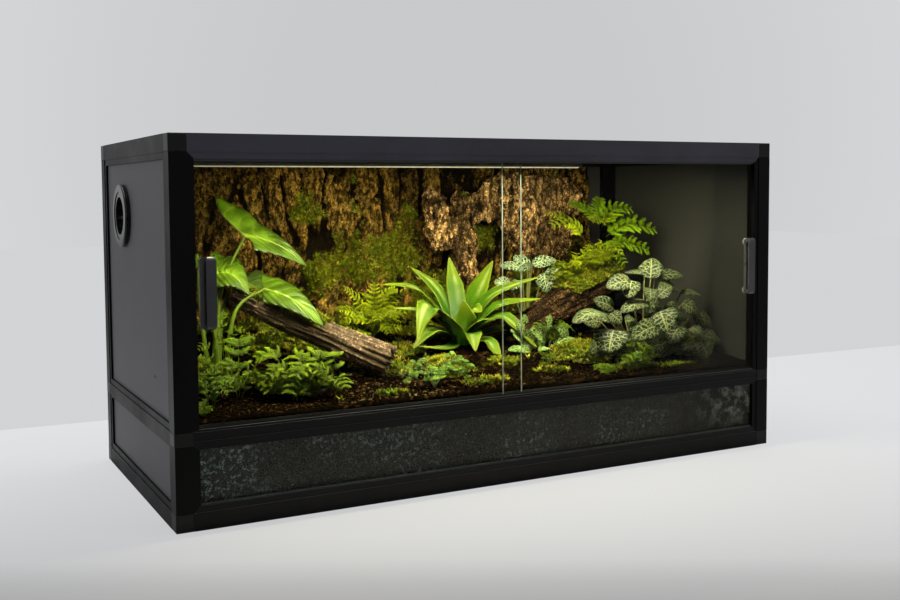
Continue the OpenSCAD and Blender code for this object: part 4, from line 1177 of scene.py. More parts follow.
def moss_look(tint):
    """Living moss: painted shade at the foot of each leaf, with some yellowed and some brown tufts.
    """
    look = Look("living_moss")
    shade = look.attribute("shade")
    _, along, _ = look.axes(look.uv())
    tone = look.mix(look.span(look.noise(22, detail=4), 0.36, 0.66), tint,
                    (tint[0] * 0.42, tint[1] * 0.75, tint[2]))
    tone = look.mix(look.span(shade, 0.8, 1.0) * 0.7, tone, (0.42, 0.34, 0.04))
    tone = look.mix(look.span(shade, 0.22, 0.0) * 0.75, tone, (0.12, 0.075, 0.02))
    # Painted shade: each leaf is darker towards its foot.
    return look.surface(
        base_color=look.mix(look.span(along, 0.0, 0.7), times(tint, 0.16), tone),
        roughness=0.62, specular_ior_level=0.03)


def underlay_look(tint):
    """Dead moss and peat between the tufts."""
    look = Look("moss_underlay")
    return look.surface(
        base_color=look.mix(look.noise(90, detail=5), times(tint, 0.2), times(tint, 0.4)),
        roughness=0.9, normal=look.bump(look.noise(200, detail=4), 0.003, 0.8))


class TERRARIUM_OT_ground(bpy.types.Operator):
    """Lay the raked soil and the deep layer behind the lower window"""

    bl_idname = "terrarium.ground"
    bl_label = "Lay the soil"

    def execute(self, context):
        growth = context.scene.terrarium_growth
        object_of("soil_bed", bed_mesh(), soil_look(growth.soil, growth.moss), "soil", "soil")
        object_of("window_soil", window_soil_mesh(), window_soil_look(), "soil")
        return {"FINISHED"}


class TERRARIUM_OT_bark(bpy.types.Operator):
    """Line the back with cork bark and stand the forked trunk before it"""

    bl_idname = "terrarium.bark"
    bl_label = "Line with bark"

    def execute(self, context):
        growth = context.scene.terrarium_growth
        wall = bark_look("cork_bark", growth.bark, (0.0035, 0.002, 0.0006), (0.15, 0.10, 0.022),
                         times(growth.moss, 0.5))
        object_of("cork_wall", wall_mesh(), wall, "bark", "bark_wall")
        trunk = carved("forked_trunk", "bark_trunk", TRUNK_STEP, trunk_depth, 3)
        mark(trunk, "moss", [clamp(0.9 * smooth((0.34 - v.co.z) / 0.08)
                                   + 0.5 * fuzz(v.co.x / 0.03, v.co.y / 0.03, v.co.z / 0.03, 3)
                                   - 0.1) for v in trunk.vertices])
        paler = bark_look("trunk_bark", (0.60, 0.37, 0.14), (0.006, 0.0035, 0.0015),
                          (0.20, 0.115, 0.035), times(growth.moss, 0.6))
        object_of("forked_trunk", trunk, paler, "bark", "bark_trunk")
        return {"FINISHED"}


# Each log's shape, its bark's name and lit, painted crevice shade and grey tones, and the shares of
# its length where it is bare and where it is mossy.
LOGS = {
    "right": (Log(at(752.4, 262.1, 224), at(1048, 326, 330), 25, 52, 0.9, 70, 2.0), "brown_log",
              (0.095, 0.054, 0.021), (0.0025, 0.0014, 0.0007), (0.08, 0.042, 0.018), 0.45, 0.65),
    "left": (Log(at(192, 322, 330), at(434, 166, 206), 25, 35, 0.84, 60, 5.0), "weathered_log",
             (0.25, 0.17, 0.11), (0.040, 0.029, 0.017), (0.13, 0.085, 0.055), 0.66, 0.46),
}


class TERRARIUM_OT_logs(bpy.types.Operator):
    """Lay the two fallen logs"""

    bl_idname = "terrarium.logs"
    bl_label = "Lay the logs"

    def execute(self, context):
        tint = times(context.scene.terrarium_growth.moss, 0.5)
        for side, (log, bark, lit, crevice_shade, grey, bare, mossy) in LOGS.items():
            name = f"fallen_log_{side}"
            mesh = log.mesh(name)
            mark(mesh, "moss", self.moss(log, mesh, bare, mossy))
            object_of(name, mesh, bark_look(bark, lit, crevice_shade, grey, tint, (1, 1, 1)),
                      "logs", f"log_{side}")
        return {"FINISHED"}

    @staticmethod
    def moss(log, mesh, bare, mossy):
        """How much moss covers each point of a log: most on top and towards one end."""
        back = log.frame.inverted()
        cover = []
        for vert in mesh.vertices:
            local = back @ vert.co
            top = smooth((local.z / MM / log.head_r - 0.1) / 0.5)
            along = smooth((local.x / MM / log.length - bare) / (mossy - bare))
            cover.append(clamp(top * along * 1.3 + 0.3 * fuzz(*(vert.co * 40).to_tuple(), 3)))
        return cover


# Places, reaches and heights of the moss mounds.
CUSHIONS = ((300, 388, 42, 26), (618, 384, 30, 22), (880, 190, 56, 20), (560, 180, 44, 16),
            (1120, 172, 50, 22), (90, 262, 54, 22), (1046, 412, 30, 22))


def cushion_mesh():
    """Low uneven mounds under the moss."""
    whole = bmesh.new()
    for i, (x, y, reach, high) in enumerate(CUSHIONS):
        made = bmesh.ops.create_icosphere(whole, subdivisions=5, radius=1.0)["verts"]
        for vert in made:
            lump = 1 + 0.16 * fuzz(vert.co.x * 1.7 + i, vert.co.y * 1.7, vert.co.z * 1.7, 3)
            px = x + vert.co.x * reach * 0.96 * lump
            py = y + vert.co.y * reach * 0.96 * lump
            vert.co = at(px, py, bed(py) + max(vert.co.z, -0.12) * high * lump * 0.9)
    mesh = to_mesh(whole, "moss_cushions")
    mark(mesh, "shade", [0.5] * len(mesh.vertices))
    return mesh


# Tufts a square metre where the moss is full.
TUFTS = {"ground": 52000, "cushions": 60000, "wall": 42000, "trunk": 26000,
         "right log": 90000, "left log": 50000}
# In metres: the size of a cell that moss is averaged over, and where the ground's moss is
# parted into two pieces.
CELL = 0.006
GROUND_PARTING = 0.02


def cell(point):
    """The cube of space, CELL metres wide, that a point is in."""
    return tuple(int(c / CELL) for c in point)


class TERRARIUM_OT_moss(bpy.types.Operator):
    """Grow moss on the ground, the bark, the trunk and the logs"""

    bl_idname = "terrarium.moss"
    bl_label = "Grow the moss"

    def execute(self, context):
        growth = context.scene.terrarium_growth
        rng = random.Random(growth.seed)
        look = moss_look(growth.moss)
        size = growth.tuft
        cushions = cushion_mesh()
        object_of("moss_cushions", cushions, underlay_look(growth.moss), "moss", "moss_mounds")
        objects = bpy.data.objects
        ground_spots = sprinkle(objects["soil_bed"].data, self.on_ground, TUFTS["ground"], rng)
        ground_spots += sprinkle(cushions, lambda c, n: n.z > 0.0, TUFTS["cushions"], rng)
        left = [spot for spot in ground_spots if spot[0].x < GROUND_PARTING]
        right = [spot for spot in ground_spots if spot[0].x >= GROUND_PARTING]
        plant_tufts("moss_ground_left", left, size, rng, look)
        plant_tufts("moss_ground_right", right, size, rng, look)
        wall_spots = sprinkle(objects["cork_wall"].data, self.on_wall, TUFTS["wall"], rng)
        wall_spots += self.marked(objects["forked_trunk"].data, 0.35, TUFTS["trunk"], rng)
        plant_tufts("moss_wall", wall_spots, size * 0.8, rng, look, 0.35)
        log_spots = self.marked(objects["fallen_log_right"].data, 0.4, TUFTS["right log"], rng)
        log_spots += self.marked(objects["fallen_log_left"].data, 0.5, TUFTS["left log"], rng)
        plant_tufts("moss_logs", log_spots, size * 0.9, rng, look)
        return {"FINISHED"}

    @staticmethod
    def on_ground(centre, normal):
        """Share of the full moss on a face of the soil."""
        return 0 if normal.z < 0.3 else clamp(ground_moss(*in_mm(centre)[:2]) * 1.5 - 0.35)

    @staticmethod
    def on_wall(centre, normal):
        """Share of the full moss on a face of the bark wall."""
        x, _, z = in_mm(centre)
        return 0 if normal.y > -0.1 else clamp(wall_moss(x, z) * 1.5 - 0.45)

    @staticmethod
    def marked(mesh, least, density, rng):
        """Spots where the moss marked on a mesh is more than least, on the mean of a cell."""
        moss = np.zeros(len(mesh.vertices), np.float32)
        mesh.attributes["moss"].data.foreach_get("value", moss)
        cells = {}
        for vert, value in zip(mesh.vertices, moss):
            cells.setdefault(cell(vert.co), []).append(value)
        kept = []
        for point, normal in sprinkle(mesh, lambda c, n: float(n.z > -0.3), density, rng):
            near = cells.get(cell(point))
            if near and sum(near) / len(near) > least:
                kept.append((point, normal))
        return kept


# ------------------------------------------------------------------ plants


def stand(line, share, hint):
    """The place at a share of a line's length, and the ways ahead, sideways and up there."""
    count = len(line) - 1
    where = share * count
    i = min(int(where), count - 1)
    ahead = (line[min(i + 2, count)] - line[max(i - 1, 0)]).normalized()
    side = ahead.cross(hint).normalized()
    return line[i].lerp(line[i + 1], where - i), ahead, side, side.cross(ahead)


def swept(route, reach, hint, outline, fold, droop=0.0, wave=0.0, along=20, across=6):
    """A leaf or strap along a curve: route in metres, reach is its full width in metres.

    hint is the way its upper face looks, outline(v) its share of the full width, fold lifts both
    sides into a V, droop lets the edges hang towards the tip and wave ripples them.
    """
    line = curve_points([Vector(p) for p in route], 12)

    def shape(u, v):
        point, _, side, up = stand(line, v, hint)
        half = reach * outline(v) / 2
        lift = fold * abs(u) * half * (1 - v * 0.5) - droop * u * u * half * v \
            + wave * half * abs(u) * math.sin(v * 21 + u * 2)
        return point + side * u * half + up * lift

    return sheet(along, across, shape)


def oval(v):
    """Egg-shaped leaf, broadest below its middle and drawn out to a tip."""
    return max(0.0, math.sin(math.pi * v ** 0.78)) ** 0.75 * (1.06 - 0.14 * v)


def strap(v):
    """Channelled strap that tapers slowly and ends in a point."""
    return (0.66 + 0.34 * math.sin(math.pi * clamp(v * 0.9 + 0.12))) * clamp((1 - v) * 2.4) ** 0.8


def arrow_leaf(foot, tip, left, right, bow, back_left, back_right, lift, waist):
    """Arrow-shaped leaf with two lobes behind the place where its stem joins it.

    left and right reach to its widest places, bow arches it, back_left and back_right are the
    lobes' lengths as shares of the blade, lift raises them and waist narrows the left half.
    """
    axis = (tip - foot) * MM
    start = at(*foot)
    ends = {-1: (right * MM, back_right), 1: (left * MM, back_left)}

    def breadth(q):
        """Half width from the lobes' ends to the tip."""
        return max(0.0, 1 - q) ** 0.75 * (0.86 + 1.15 * q) / 0.93

    def shape(u, v):
        side, back = ends[1 if u >= 0 else -1]
        rim = abs(u)
        s = lerp(-back * (1 - (1 - rim) ** 4), 1.0, v)
        q = clamp((s + back) / (1 + back)) if back > 0 else clamp(s)
        ripple = 0.02 * math.sin(v * 26) * rim * (1 - v)
        arch = Vector((0, 0, bow * MM)) * (4 * s * (1 - s)) if s > 0 else \
            Vector((0, 0, -lift * MM * s))
        hang = Vector((0, 0, -6 * MM)) * rim ** 3 * (1 - v)
        slim = 1 - waist * smooth(s / 0.35) if u >= 0 else 1
        return start + axis * s + side * (rim * breadth(q) * slim) + arch + hang \
            + Vector((0, 0, ripple * side.length))

    bm = sheet(34, 14, shape)
    bmesh.ops.recalc_face_normals(bm, faces=bm.faces)
    return bm


def lobed(lobes):
    """Outline with rounded lobes along both edges."""
    def outline(v):
        body = math.sin(math.pi * clamp(0.10 + v * 0.86)) ** 0.6 * (1.05 - 0.6 * v)
        return body * (0.5 + 0.5 * abs(math.sin(math.pi * lobes * v)) ** 0.7)
    return outline


def frond(route, breadth, pairs, rng, hint=Vector((0, -0.35, 1)), lobes=3):
    """A fern frond: a thin rib with pairs of lobed leaflets, shorter towards its tip."""
    line = curve_points([at(*p) for p in route], 10)
    parts = [swept(line, 1.3 * MM, hint, lambda v: 1 - 0.7 * v, 0.6, along=12, across=2)]
    for i in range(pairs):
        v = lerp(0.12, 0.97, (i + 0.5) / pairs)
        point, ahead, side, up = stand(line, v, hint)
        size = breadth * MM * (math.sin(math.pi * clamp(0.14 + v * 0.80)) ** 0.75)
        for sign in (-1, 1):
            reach = size * rng.uniform(0.85, 1.12)
            lean = rng.uniform(0.30, 0.55)
            sag = rng.uniform(-0.12, 0.22)
            out = (side * sign + ahead * lean).normalized()
            mid = point + out * reach * 0.5 + up * reach * 0.10
            end = point + out * reach - up * reach * sag + ahead * reach * 0.12
            wide = (line[-1] - line[0]).length / pairs * rng.uniform(1.15, 1.5)
            wide = min(wide, reach * 0.62)
            parts.append(swept([point, mid, end], wide, up, lobed(lobes), 0.12, 0.1,
                               along=lobes * 4, across=2))
    return joined(parts)


def clump(rng, centre, number, size, height, pairs, breadth, lobes):
    """Fronds that arch out of one place on the ground, none of them past the panes."""
    parts = []
    for i in range(number):
        turn = -math.pi / 2 + math.tau * ((i + rng.random()) / number - 0.5)
        reach = size * rng.uniform(0.6, 1.1)
        rise = reach * height * rng.uniform(0.5, 1.15)
        x, y, z = centre
        dx, dy = math.cos(turn), math.sin(turn)
        middle, far = (max(y + dy * reach * share, NEAREST) for share in (0.45, 1))
        route = ((x + dx * 4, y + dy * 4, z), (x + dx * reach * 0.45, middle, z + rise),
                 (x + dx * reach, far, z + rise * rng.uniform(0.35, 0.95)))
        parts.append(frond(route, reach * breadth, pairs, rng, lobes=lobes))
    return parts


# Each leaf's foot and tip, the reach of its left and right half, its bow, the length of its
# left and right lobe, the lift of the lobes and its waist.
ARROW_LEAVES = (
    ((208, 300, 437), (312, 262, 382), (10, 44, 54), (-2, -24, -18), 13, 0.44, -0.1, 12, 0.46),
    ((152, 292, 372), (202, 262, 334), (32, 46, 30), (-4, -22, -19), 16, 0.36, 0.1, 6, 0.0),
    ((196, 332, 346), (240, 318, 334), (38, 20, 26), (6, -12, -14), 8, 0.05, 0.05, 0, 0.0),
    ((231, 262, 342), (315, 186, 278), (19, 30, 27), (-5, -20, -18), 13, 0.10, 0.04, 12, 0.1),
    ((132, 335, 397), (112, 330, 380), (2, 25, 13), (5, -15, -9), 6, 0.1, 0.1, 0, 0.0),
)
ARROW_STEMS = (
    ((146, 262, 176), (160, 300, 330), (208, 300, 437)),
    ((136, 262, 176), (147, 285, 303), (154, 292, 372)),
    ((146, 270, 178), (165, 310, 290), (190, 330, 347)),
    ((152, 250, 176), (174, 256, 304), (231, 262, 342)),
    ((130, 270, 178), (126, 310, 320), (132, 335, 397)),
    ((142, 258, 176), (140, 262, 250), (138, 268, 290)),
)
# Foot, middle, tip and width of each strap.
STRAPS = (
    ((640, 290, 229), (565, 305, 320), (471, 285, 338), 22),
    ((635, 286, 226), (571, 290, 277), (485, 272, 292), 19),
    ((643, 296, 233), (625, 345, 314), (581, 378, 362), 35),
    ((652, 298, 236), (664, 338, 312), (668, 372, 380), 38),
    ((663, 300, 235), (712, 338, 301), (774, 372, 368), 44),
    ((664, 294, 231), (721, 290, 304), (818, 262, 338), 30),
    ((665, 290, 227), (723, 275, 283), (819, 250, 295), 30),
    ((659, 284, 224), (730, 262, 264), (792, 226, 198), 36),
    ((635, 282, 230), (565, 262, 292), (521, 226, 233), 46),
    ((634, 280, 224), (571, 262, 246), (519, 242, 214), 30),
    ((636, 274, 209), (617, 262, 247), (589, 240, 280), 50),
    ((649, 276, 213), (649, 266, 255), (638, 256, 301), 46),
    ((645, 272, 213), (670, 250, 256), (699, 235, 260), 44),
    ((649, 270, 209), (655, 250, 235), (650, 228, 201), 38),
    ((655, 272, 208), (692, 250, 216), (706, 222, 176), 30),
    ((665, 290, 232), (667, 275, 278), (671, 240, 276), 42),
    ((637, 276, 213), (600, 262, 207), (520, 244, 220), 24),
    ((655, 290, 215), (744, 285, 234), (780, 268, 222), 24),
)
# Foot, tip and width of each leaf.
NERVED = (
    ((1019, 148, 334), (1040, 170, 378), 48), ((1032, 150, 338), (1096, 134, 340), 24),
    ((1013, 160, 344), (972, 175, 348), 11), ((960, 135, 331), (895, 130, 326), 40),
    ((957, 130, 334), (935, 112, 303), 40), ((997, 120, 317), (983, 105, 296), 29),
    ((1037, 140, 326), (1085, 138, 307), 21), ((1013, 118, 299), (1045, 112, 320), 31),
    ((1099, 150, 299), (1171, 150, 287), 27), ((1092, 135, 281), (1124, 122, 255), 34),
    ((1095, 145, 270), (1037, 130, 279), 21), ((995, 125, 287), (911, 105, 279), 33),
    ((912, 130, 280), (860, 125, 303), 29), ((881, 115, 273), (789, 95, 267), 39),
    ((891, 110, 273), (907, 98, 254), 31), ((890, 100, 242), (862, 78, 204), 66),
    ((999, 100, 243), (922, 85, 227), 42), ((1010, 105, 272), (1007, 78, 234), 62),
    ((1070, 115, 235), (1027, 98, 205), 44), ((1124, 140, 251), (1166, 128, 232), 34),
    ((1118, 110, 206), (1119, 90, 170), 46), ((1132, 125, 214), (1180, 110, 190), 33),
)
NERVED_SMALL = (
    ((871, 378, 344), (834, 388, 376), 33), ((878, 380, 356), (942, 380, 365), 26),
    ((850, 376, 347), (792, 372, 357), 28), ((862, 372, 345), (855, 368, 362), 22),
    ((909, 375, 338), (982, 352, 314), 32), ((904, 372, 336), (898, 350, 297), 39),
    ((818, 372, 314), (771, 362, 324), 27), ((835, 365, 320), (807, 355, 308), 22),
)
LOW_LEAVES = (
    ((764, 250, 225), (737, 240, 235), 15), ((769, 245, 212), (740, 235, 229), 19),
    ((835, 230, 200), (881, 222, 214), 18), ((827, 225, 192), (786, 212, 196), 18),
    ((834, 220, 188), (825, 196, 155), 27), ((857, 222, 177), (907, 205, 148), 23),
    ((876, 226, 198), (912, 215, 188), 14), ((769, 225, 192), (715, 212, 203), 18),
    ((756, 220, 185), (731, 196, 153), 37), ((778, 222, 183), (764, 200, 165), 21),
    ((818, 236, 205), (776, 228, 240), 18), ((857, 230, 194), (881, 214, 174), 13),
)
# Foot, middle, tip and breadth of each frond.
LOG_FRONDS = (
    ((1023, 324, 435), (1042, 316, 473), (1084, 296, 474), 30),
    ((1030, 318, 414), (1075, 300, 442), (1136, 276, 427), 34),
    ((1037, 316, 401), (1072, 296, 401), (1118, 278, 383), 32),
    ((1026, 310, 406), (1030, 290, 393), (1044, 268, 356), 20),
    ((1024, 330, 452), (1024, 340, 477), (1033, 345, 500), 20),
    ((1018, 335, 448), (995, 350, 477), (961, 356, 488), 24),
    ((955, 300, 415), (929, 300, 446), (868, 290, 444), 25),
    ((949, 306, 424), (921, 320, 459), (881, 330, 467), 15),
    ((1026, 320, 444), (1005, 310, 453), (976, 300, 450), 18),
    ((1021, 320, 435), (1020, 300, 462), (1004, 290, 476), 18),
)
CENTRE_FRONDS = (
    ((481, 352, 233), (448, 340, 301), (415, 330, 330), 17),
    ((485, 352, 233), (485, 350, 285), (486, 345, 334), 19),
    ((489, 350, 237), (512, 335, 298), (553, 320, 319), 18),
    ((480, 350, 238), (434, 330, 282), (395, 315, 290), 19),
    ((477, 345, 234), (423, 325, 257), (380, 310, 247), 17),
    ((480, 340, 230), (449, 310, 266), (403, 300, 272), 18),
    ((487, 345, 233), (509, 320, 269), (552, 300, 282), 18),
    ((485, 340, 234), (490, 310, 250), (523, 300, 249), 17),
    ((478, 335, 235), (458, 310, 265), (456, 300, 287), 19),
    ((489, 350, 237), (502, 345, 302), (529, 340, 323), 18),
    ((480, 340, 234), (486, 310, 263), (493, 295, 239), 16),
    ((480, 340, 234), (442, 305, 245), (430, 300, 230), 15),
)
HERB_FRONDS = (
    ((151, 240, 180), (166, 225, 254), (199, 215, 259), 12),
    ((147, 240, 180), (162, 235, 269), (184, 230, 273), 12),
    ((151, 240, 180), (145, 245, 284), (155, 250, 306), 12),
    ((134, 235, 180), (111, 220, 250), (94, 212, 248), 12),
)
# Centre, number of fronds and their size, height, pairs of leaflets, breadth and lobes.
CENTRE_CLUMP = ((482, 338, 240), 8, 62, 0.9, 7, 0.36, 3)
DARK_CLUMPS = (
    ((56, 132, 168), 4, 58, 1.25, 8, 0.40, 3), ((96, 152, 172), 5, 66, 1.25, 8, 0.40, 3),
    ((146, 146, 172), 4, 60, 1.25, 8, 0.40, 3), ((84, 96, 168), 3, 40, 1.25, 8, 0.40, 3),
)
BRIGHT_CLUMPS = (
    ((190, 134, 170), 4, 60, 1.05, 6, 0.50, 2), ((232, 124, 168), 5, 66, 1.05, 6, 0.50, 2),
    ((264, 106, 168), 5, 60, 1.05, 6, 0.50, 2), ((300, 102, 168), 4, 52, 1.05, 6, 0.50, 2),
    ((228, 96, 168), 4, 44, 1.05, 6, 0.50, 2), ((752, 128, 172), 6, 34, 1.1, 7, 0.24, 3),
    ((838, 236, 204), 5, 60, 1.1, 7, 0.24, 3), ((58, 52, 166), 9, 17, 1.0, 5, 0.5, 2),
    ((925, 66, 168), 9, 44, 1.1, 5, 0.42, 2), ((840, 58, 166), 12, 24, 0.6, 5, 0.5, 2),
)
# Centre of each creeping plant, the number of its stems, their reach and height, and the
# length of a leaf.
CREEPERS = (((486, 84, 170), 10, 82, 50, 13), ((925, 62, 168), 5, 50, 30, 10))
# Name of each fern's finish, the shares of red and green in its tint, its roughness and how
# much painted shade it has at its root. The log fern's larger shares are painted light: a
# paler copy of the fern green where the light bar lights little.
FERN_FINISHES = (("fern_leaf", 1.05, 1.3, 0.42, 0.85), ("dark_fern", 0.75, 1.0, 0.4, 0.8),
                 ("lime_fern", 2.5, 2.5, 0.45, 0.75), ("lit_log_fern", 1.7, 2.3, 0.45, 0.8))
# The heart of the bromeliad, and the crown of each veined plant with the height of its soil.
HEART = (652, 290, 250)
LARGE_CROWN, SMALL_CROWN, LOW_CROWN = (1005, 150, 166), (868, 384, 232), (815, 235, 184)
# Where leaves, clumps and litter are strewn, from and to along x and y. The third pair is the
# leaves' height above the soil, their height, and the log's height at both ends.
LARGE_BUSH = ((870, 1130), (112, 190), (20, 140))
LOW_BUSH = ((735, 870), (226, 256), (196, 236))
LOG_CUSHION = ((900, 1010), (272, 318), (318, 366))
LITTER = ((34, 1166), (34, 364))
LARGE_LEAVES, LOW_LEAVES_MORE, LOG_CLUMPS, CHIPS = 24, 14, 26, 9000
# The nearest to the front that a frond may reach, clear of the panes.
NEAREST = 40


def strap_look(tint):
    """Glossy strap leaf: deep green at its foot and middle, yellow green edges and tip, and a
    painted highlight streak.
    """
    look = Look("bromeliad_leaf")
    across, along, _ = look.axes(look.uv())
    off = abs(across - 0.5) * 2.0
    lines = look.noise(60, look.uv((1, 0.05, 1)), detail=3)
    cloud = look.noise(16, detail=4)
    deep = (tint[0] * 0.16, tint[1] * 0.36, tint[2] * 0.3)
    body = look.mix(look.span(along + (cloud - 0.5) * 0.3, 0.15, 0.85), deep, tint)
    light = look.span(off, 0.72, 1.0) * look.span(along, 0.1, 0.7) * 0.6
    light = light.most(look.span(along + (cloud - 0.5) * 0.2, 0.55, 1.0) * 0.6)
    body = look.mix(light * 0.75, body, (0.24, 0.25, 0.022))
    body = look.mix(look.span(lines, 0.45, 0.7) * 0.35, body, deep)
    body = look.mix(look.span(cloud, 0.40, 0.58) * look.span(off, 0.9, 0.2) * 0.55, body, deep)
    # Painted highlight: a pale sheen streak along each strap.
    sheen = look.span(abs(across - 0.6), 0.2, 0.02) * look.span(along, 0.3, 0.6) * \
        look.span(along, 1.0, 0.75)
    body = look.mix(sheen * look.span(cloud, 0.38, 0.6) * 0.42, body, (0.44, 0.48, 0.15))
    body = look.mix(look.span(along, 0.93, 1.0) * 0.7, body, (0.22, 0.15, 0.04))
    front = look.principled(
        base_color=body, roughness=look.span(cloud, 0.3, 0.7, 0.22, 0.34),
        normal=look.bump(lines, 0.0006, 0.5), specular_ior_level=0.07)
    through = look.node("ShaderNodeBsdfTranslucent", None, {"Color": tint})
    return look.blend(0.12, front, through)


def leaf_look(name, tint, veins, slant, rough, gloss, pale, root=0.0):
    """Living leaf: paler veins by its own map, a painted sheen beside the midrib, painted shade
    towards its root, light through the blade.
    """
    look = Look(name)
    across, along, _ = look.axes(look.uv())
    off = abs(across - 0.5) * 2.0
    line = abs((along * veins - off * slant * veins).wrap() - 0.5)
    vein = look.span(line, 0.10, 0.0) * look.span(off, 1.0, 0.5)
    rib = look.span(off, 0.09, 0.02)
    cloud = look.noise(34, detail=4)
    deep = times(tint, 0.22)
    light = (tint[0] * 1.6 + 0.17 * pale, tint[1] * 1.4 + 0.17 * pale,
             tint[2] * 1.6 + 0.04 * pale)
    body = look.mix(look.span(cloud, 0.32, 0.7), deep, tint)
    body = look.mix(look.span(off, 0.15, 0.85) * 0.35, body, deep)
    body = look.mix((vein * pale).most(rib * 0.75), body, light)
    # Painted highlight: a pale sheen beside the midrib.
    body = look.mix(look.span(off, 0.5, 0.0) * look.span(cloud, 0.4, 0.6) * pale, body, light)
    # Painted shade: darker towards the root.
    if root:
        body = look.mix(look.span(along, 0.75, 0.1) * root, body, deep)
    front = look.principled(
        base_color=body, roughness=look.span(cloud, 0.3, 0.7, rough, rough + 0.14),
        normal=look.bump(look.span(line, 0.0, 0.4) - rib * 0.6, 0.0024, 0.7),
        specular_ior_level=gloss)
    through = look.node("ShaderNodeBsdfTranslucent", None, {"Color": light})
    return look.blend(0.07, front, through)


def net_look(name, tint, line_tint, scale, width, pale):
    """Dark leaf under a net of pale veins: a midrib, side veins and the meshes between them."""
    look = Look(name)
    across, along, _ = look.axes(look.uv())
    off = abs(across - 0.5) * 2.0
    wobble = (look.noise(7, look.uv((1, 1.6, 1)), detail=3) - 0.5) * 0.16
    line = abs(((along + wobble - off * 0.20) * 7.0).wrap() - 0.5)
    side = look.span(line, 0.09, 0.03)
    warp = look.uv((scale * 0.32, scale * 0.46, 1))
    mesh = look.span(look.cells(1.0, warp, "DISTANCE_TO_EDGE"), width, width * 0.35)
    rib = look.span(off, 0.06, 0.02)
    net = (side * look.span(off, 1.0, 0.8)).most(mesh * 0.85).most(rib)
    body = look.mix(look.span(look.noise(40), 0.3, 0.7), times(tint, 0.6), tint)
    return look.surface(
        base_color=look.mix(net * pale, body, line_tint),
        roughness=look.span(net, 0.0, 1.0, 0.42, 0.55),
        normal=look.bump(net * -1.0, 0.0010, 0.7), specular_ior_level=0.1)


def stem_look(name, tint):
    """Smooth green stalk with darker stretches."""
    look = Look(name)
    return look.surface(
        base_color=look.mix(look.noise(30, detail=3), tint, times(tint, 0.45)),
        roughness=look.span(look.noise(80), 0.3, 0.7, 0.35, 0.5), specular_ior_level=0.1)


def leaf_piece(name, parts, look, slot, *replaced, thick):
    """Several leaves as one piece, thick millimetres through."""
    piece = object_of(name, to_mesh(joined(parts), name), look, slot, *replaced)
    solid = piece.modifiers.new("thickness", "SOLIDIFY")
    solid.thickness = thick * MM
    solid.offset = 0.0


def stem_piece(name, routes, look, slot):
    """Round stems through places in millimetres, each with its first and last radius."""
    lines = [(curve_points([at(*p) for p in route], 8), a, b) for route, a, b in routes]
    object_of(name, stems(name, lines), look, slot)


# The way most leaves look.
FACE = Vector((-0.42, -0.70, 0.58))


def ovate(rows, rng, face=FACE, widen=1.08, along=14, across=8):
    """Egg-shaped leaves from base to tip, arched, each turned a little its own way."""
    parts = []
    for foot, tip, width in rows:
        a, b = at(*foot), at(*tip)
        lean = Vector([rng.uniform(-0.34, 0.34) for _ in range(3)])
        hint = (face + lean).normalized()
        size = (b - a).length
        middle = (a + b) / 2 + hint * size * 0.10
        tail = b - Vector((0, 0, size * 0.05))
        parts.append(swept([a, middle, tail], width * widen * MM, hint, oval, 0.16, 0.25, 0.05,
                           along, across))
    return parts


def between(foot, crown):
    """Stem route from a plant's crown on the ground up to a leaf's base."""
    x, y, z = foot
    cx, cy, ground_z = crown
    return ((lerp(cx, x, 0.25), lerp(cy, y, 0.25), ground_z),
            (lerp(cx, x, 0.62), lerp(cy, y, 0.7) + 4, lerp(ground_z, z, 0.55)), foot)


def veined_plant(names, rows, rng, looks, radii, slot, crown, *replaced, widen=1.08):
    """Leaves and the stems that carry them, each with its name and finish."""
    leaf_piece(names[0], ovate(rows, rng, widen=widen), looks[0], slot, *replaced, thick=0.6)
    stem_piece(names[1], [(between(foot, crown), *radii) for foot, _, _ in rows], looks[1], slot)


def crumb(rng):
    """A small rough chip of bark or peat, one unit long."""
    bm = bmesh.new()
    bm.loops.layers.uv.new("UVMap")
    bmesh.ops.create_icosphere(bm, subdivisions=1, radius=0.5)
    for vert in bm.verts:
        vert.co = Vector((vert.co.x * rng.uniform(0.8, 1.2), vert.co.y * rng.uniform(0.4, 0.9),
                          vert.co.z * rng.uniform(0.25, 0.6)))
    return to_mesh(bm, "crumb")


def litter_look():
    """Crumbs from black peat to pale dry chips, by each one's own shade."""
    look = Look("leaf_litter")
    tone = look.ramp(look.attribute("shade"),
                     [(0.0, (0.0003, 0.0002, 0.0001)), (0.6, (0.0014, 0.0008, 0.0003)),
                      (0.76, (0.008, 0.0042, 0.0012)), (0.86, (0.035, 0.021, 0.007)),
                      (1.0, (0.16, 0.12, 0.06))])
    return look.surface(base_color=look.mix(look.noise(400, detail=2) * 0.6, tone,
                                            (0.0008, 0.0006, 0.0004)),
                        roughness=look.span(look.noise(120), 0.3, 0.7, 0.5, 0.8),
                        specular_ior_level=0.0)


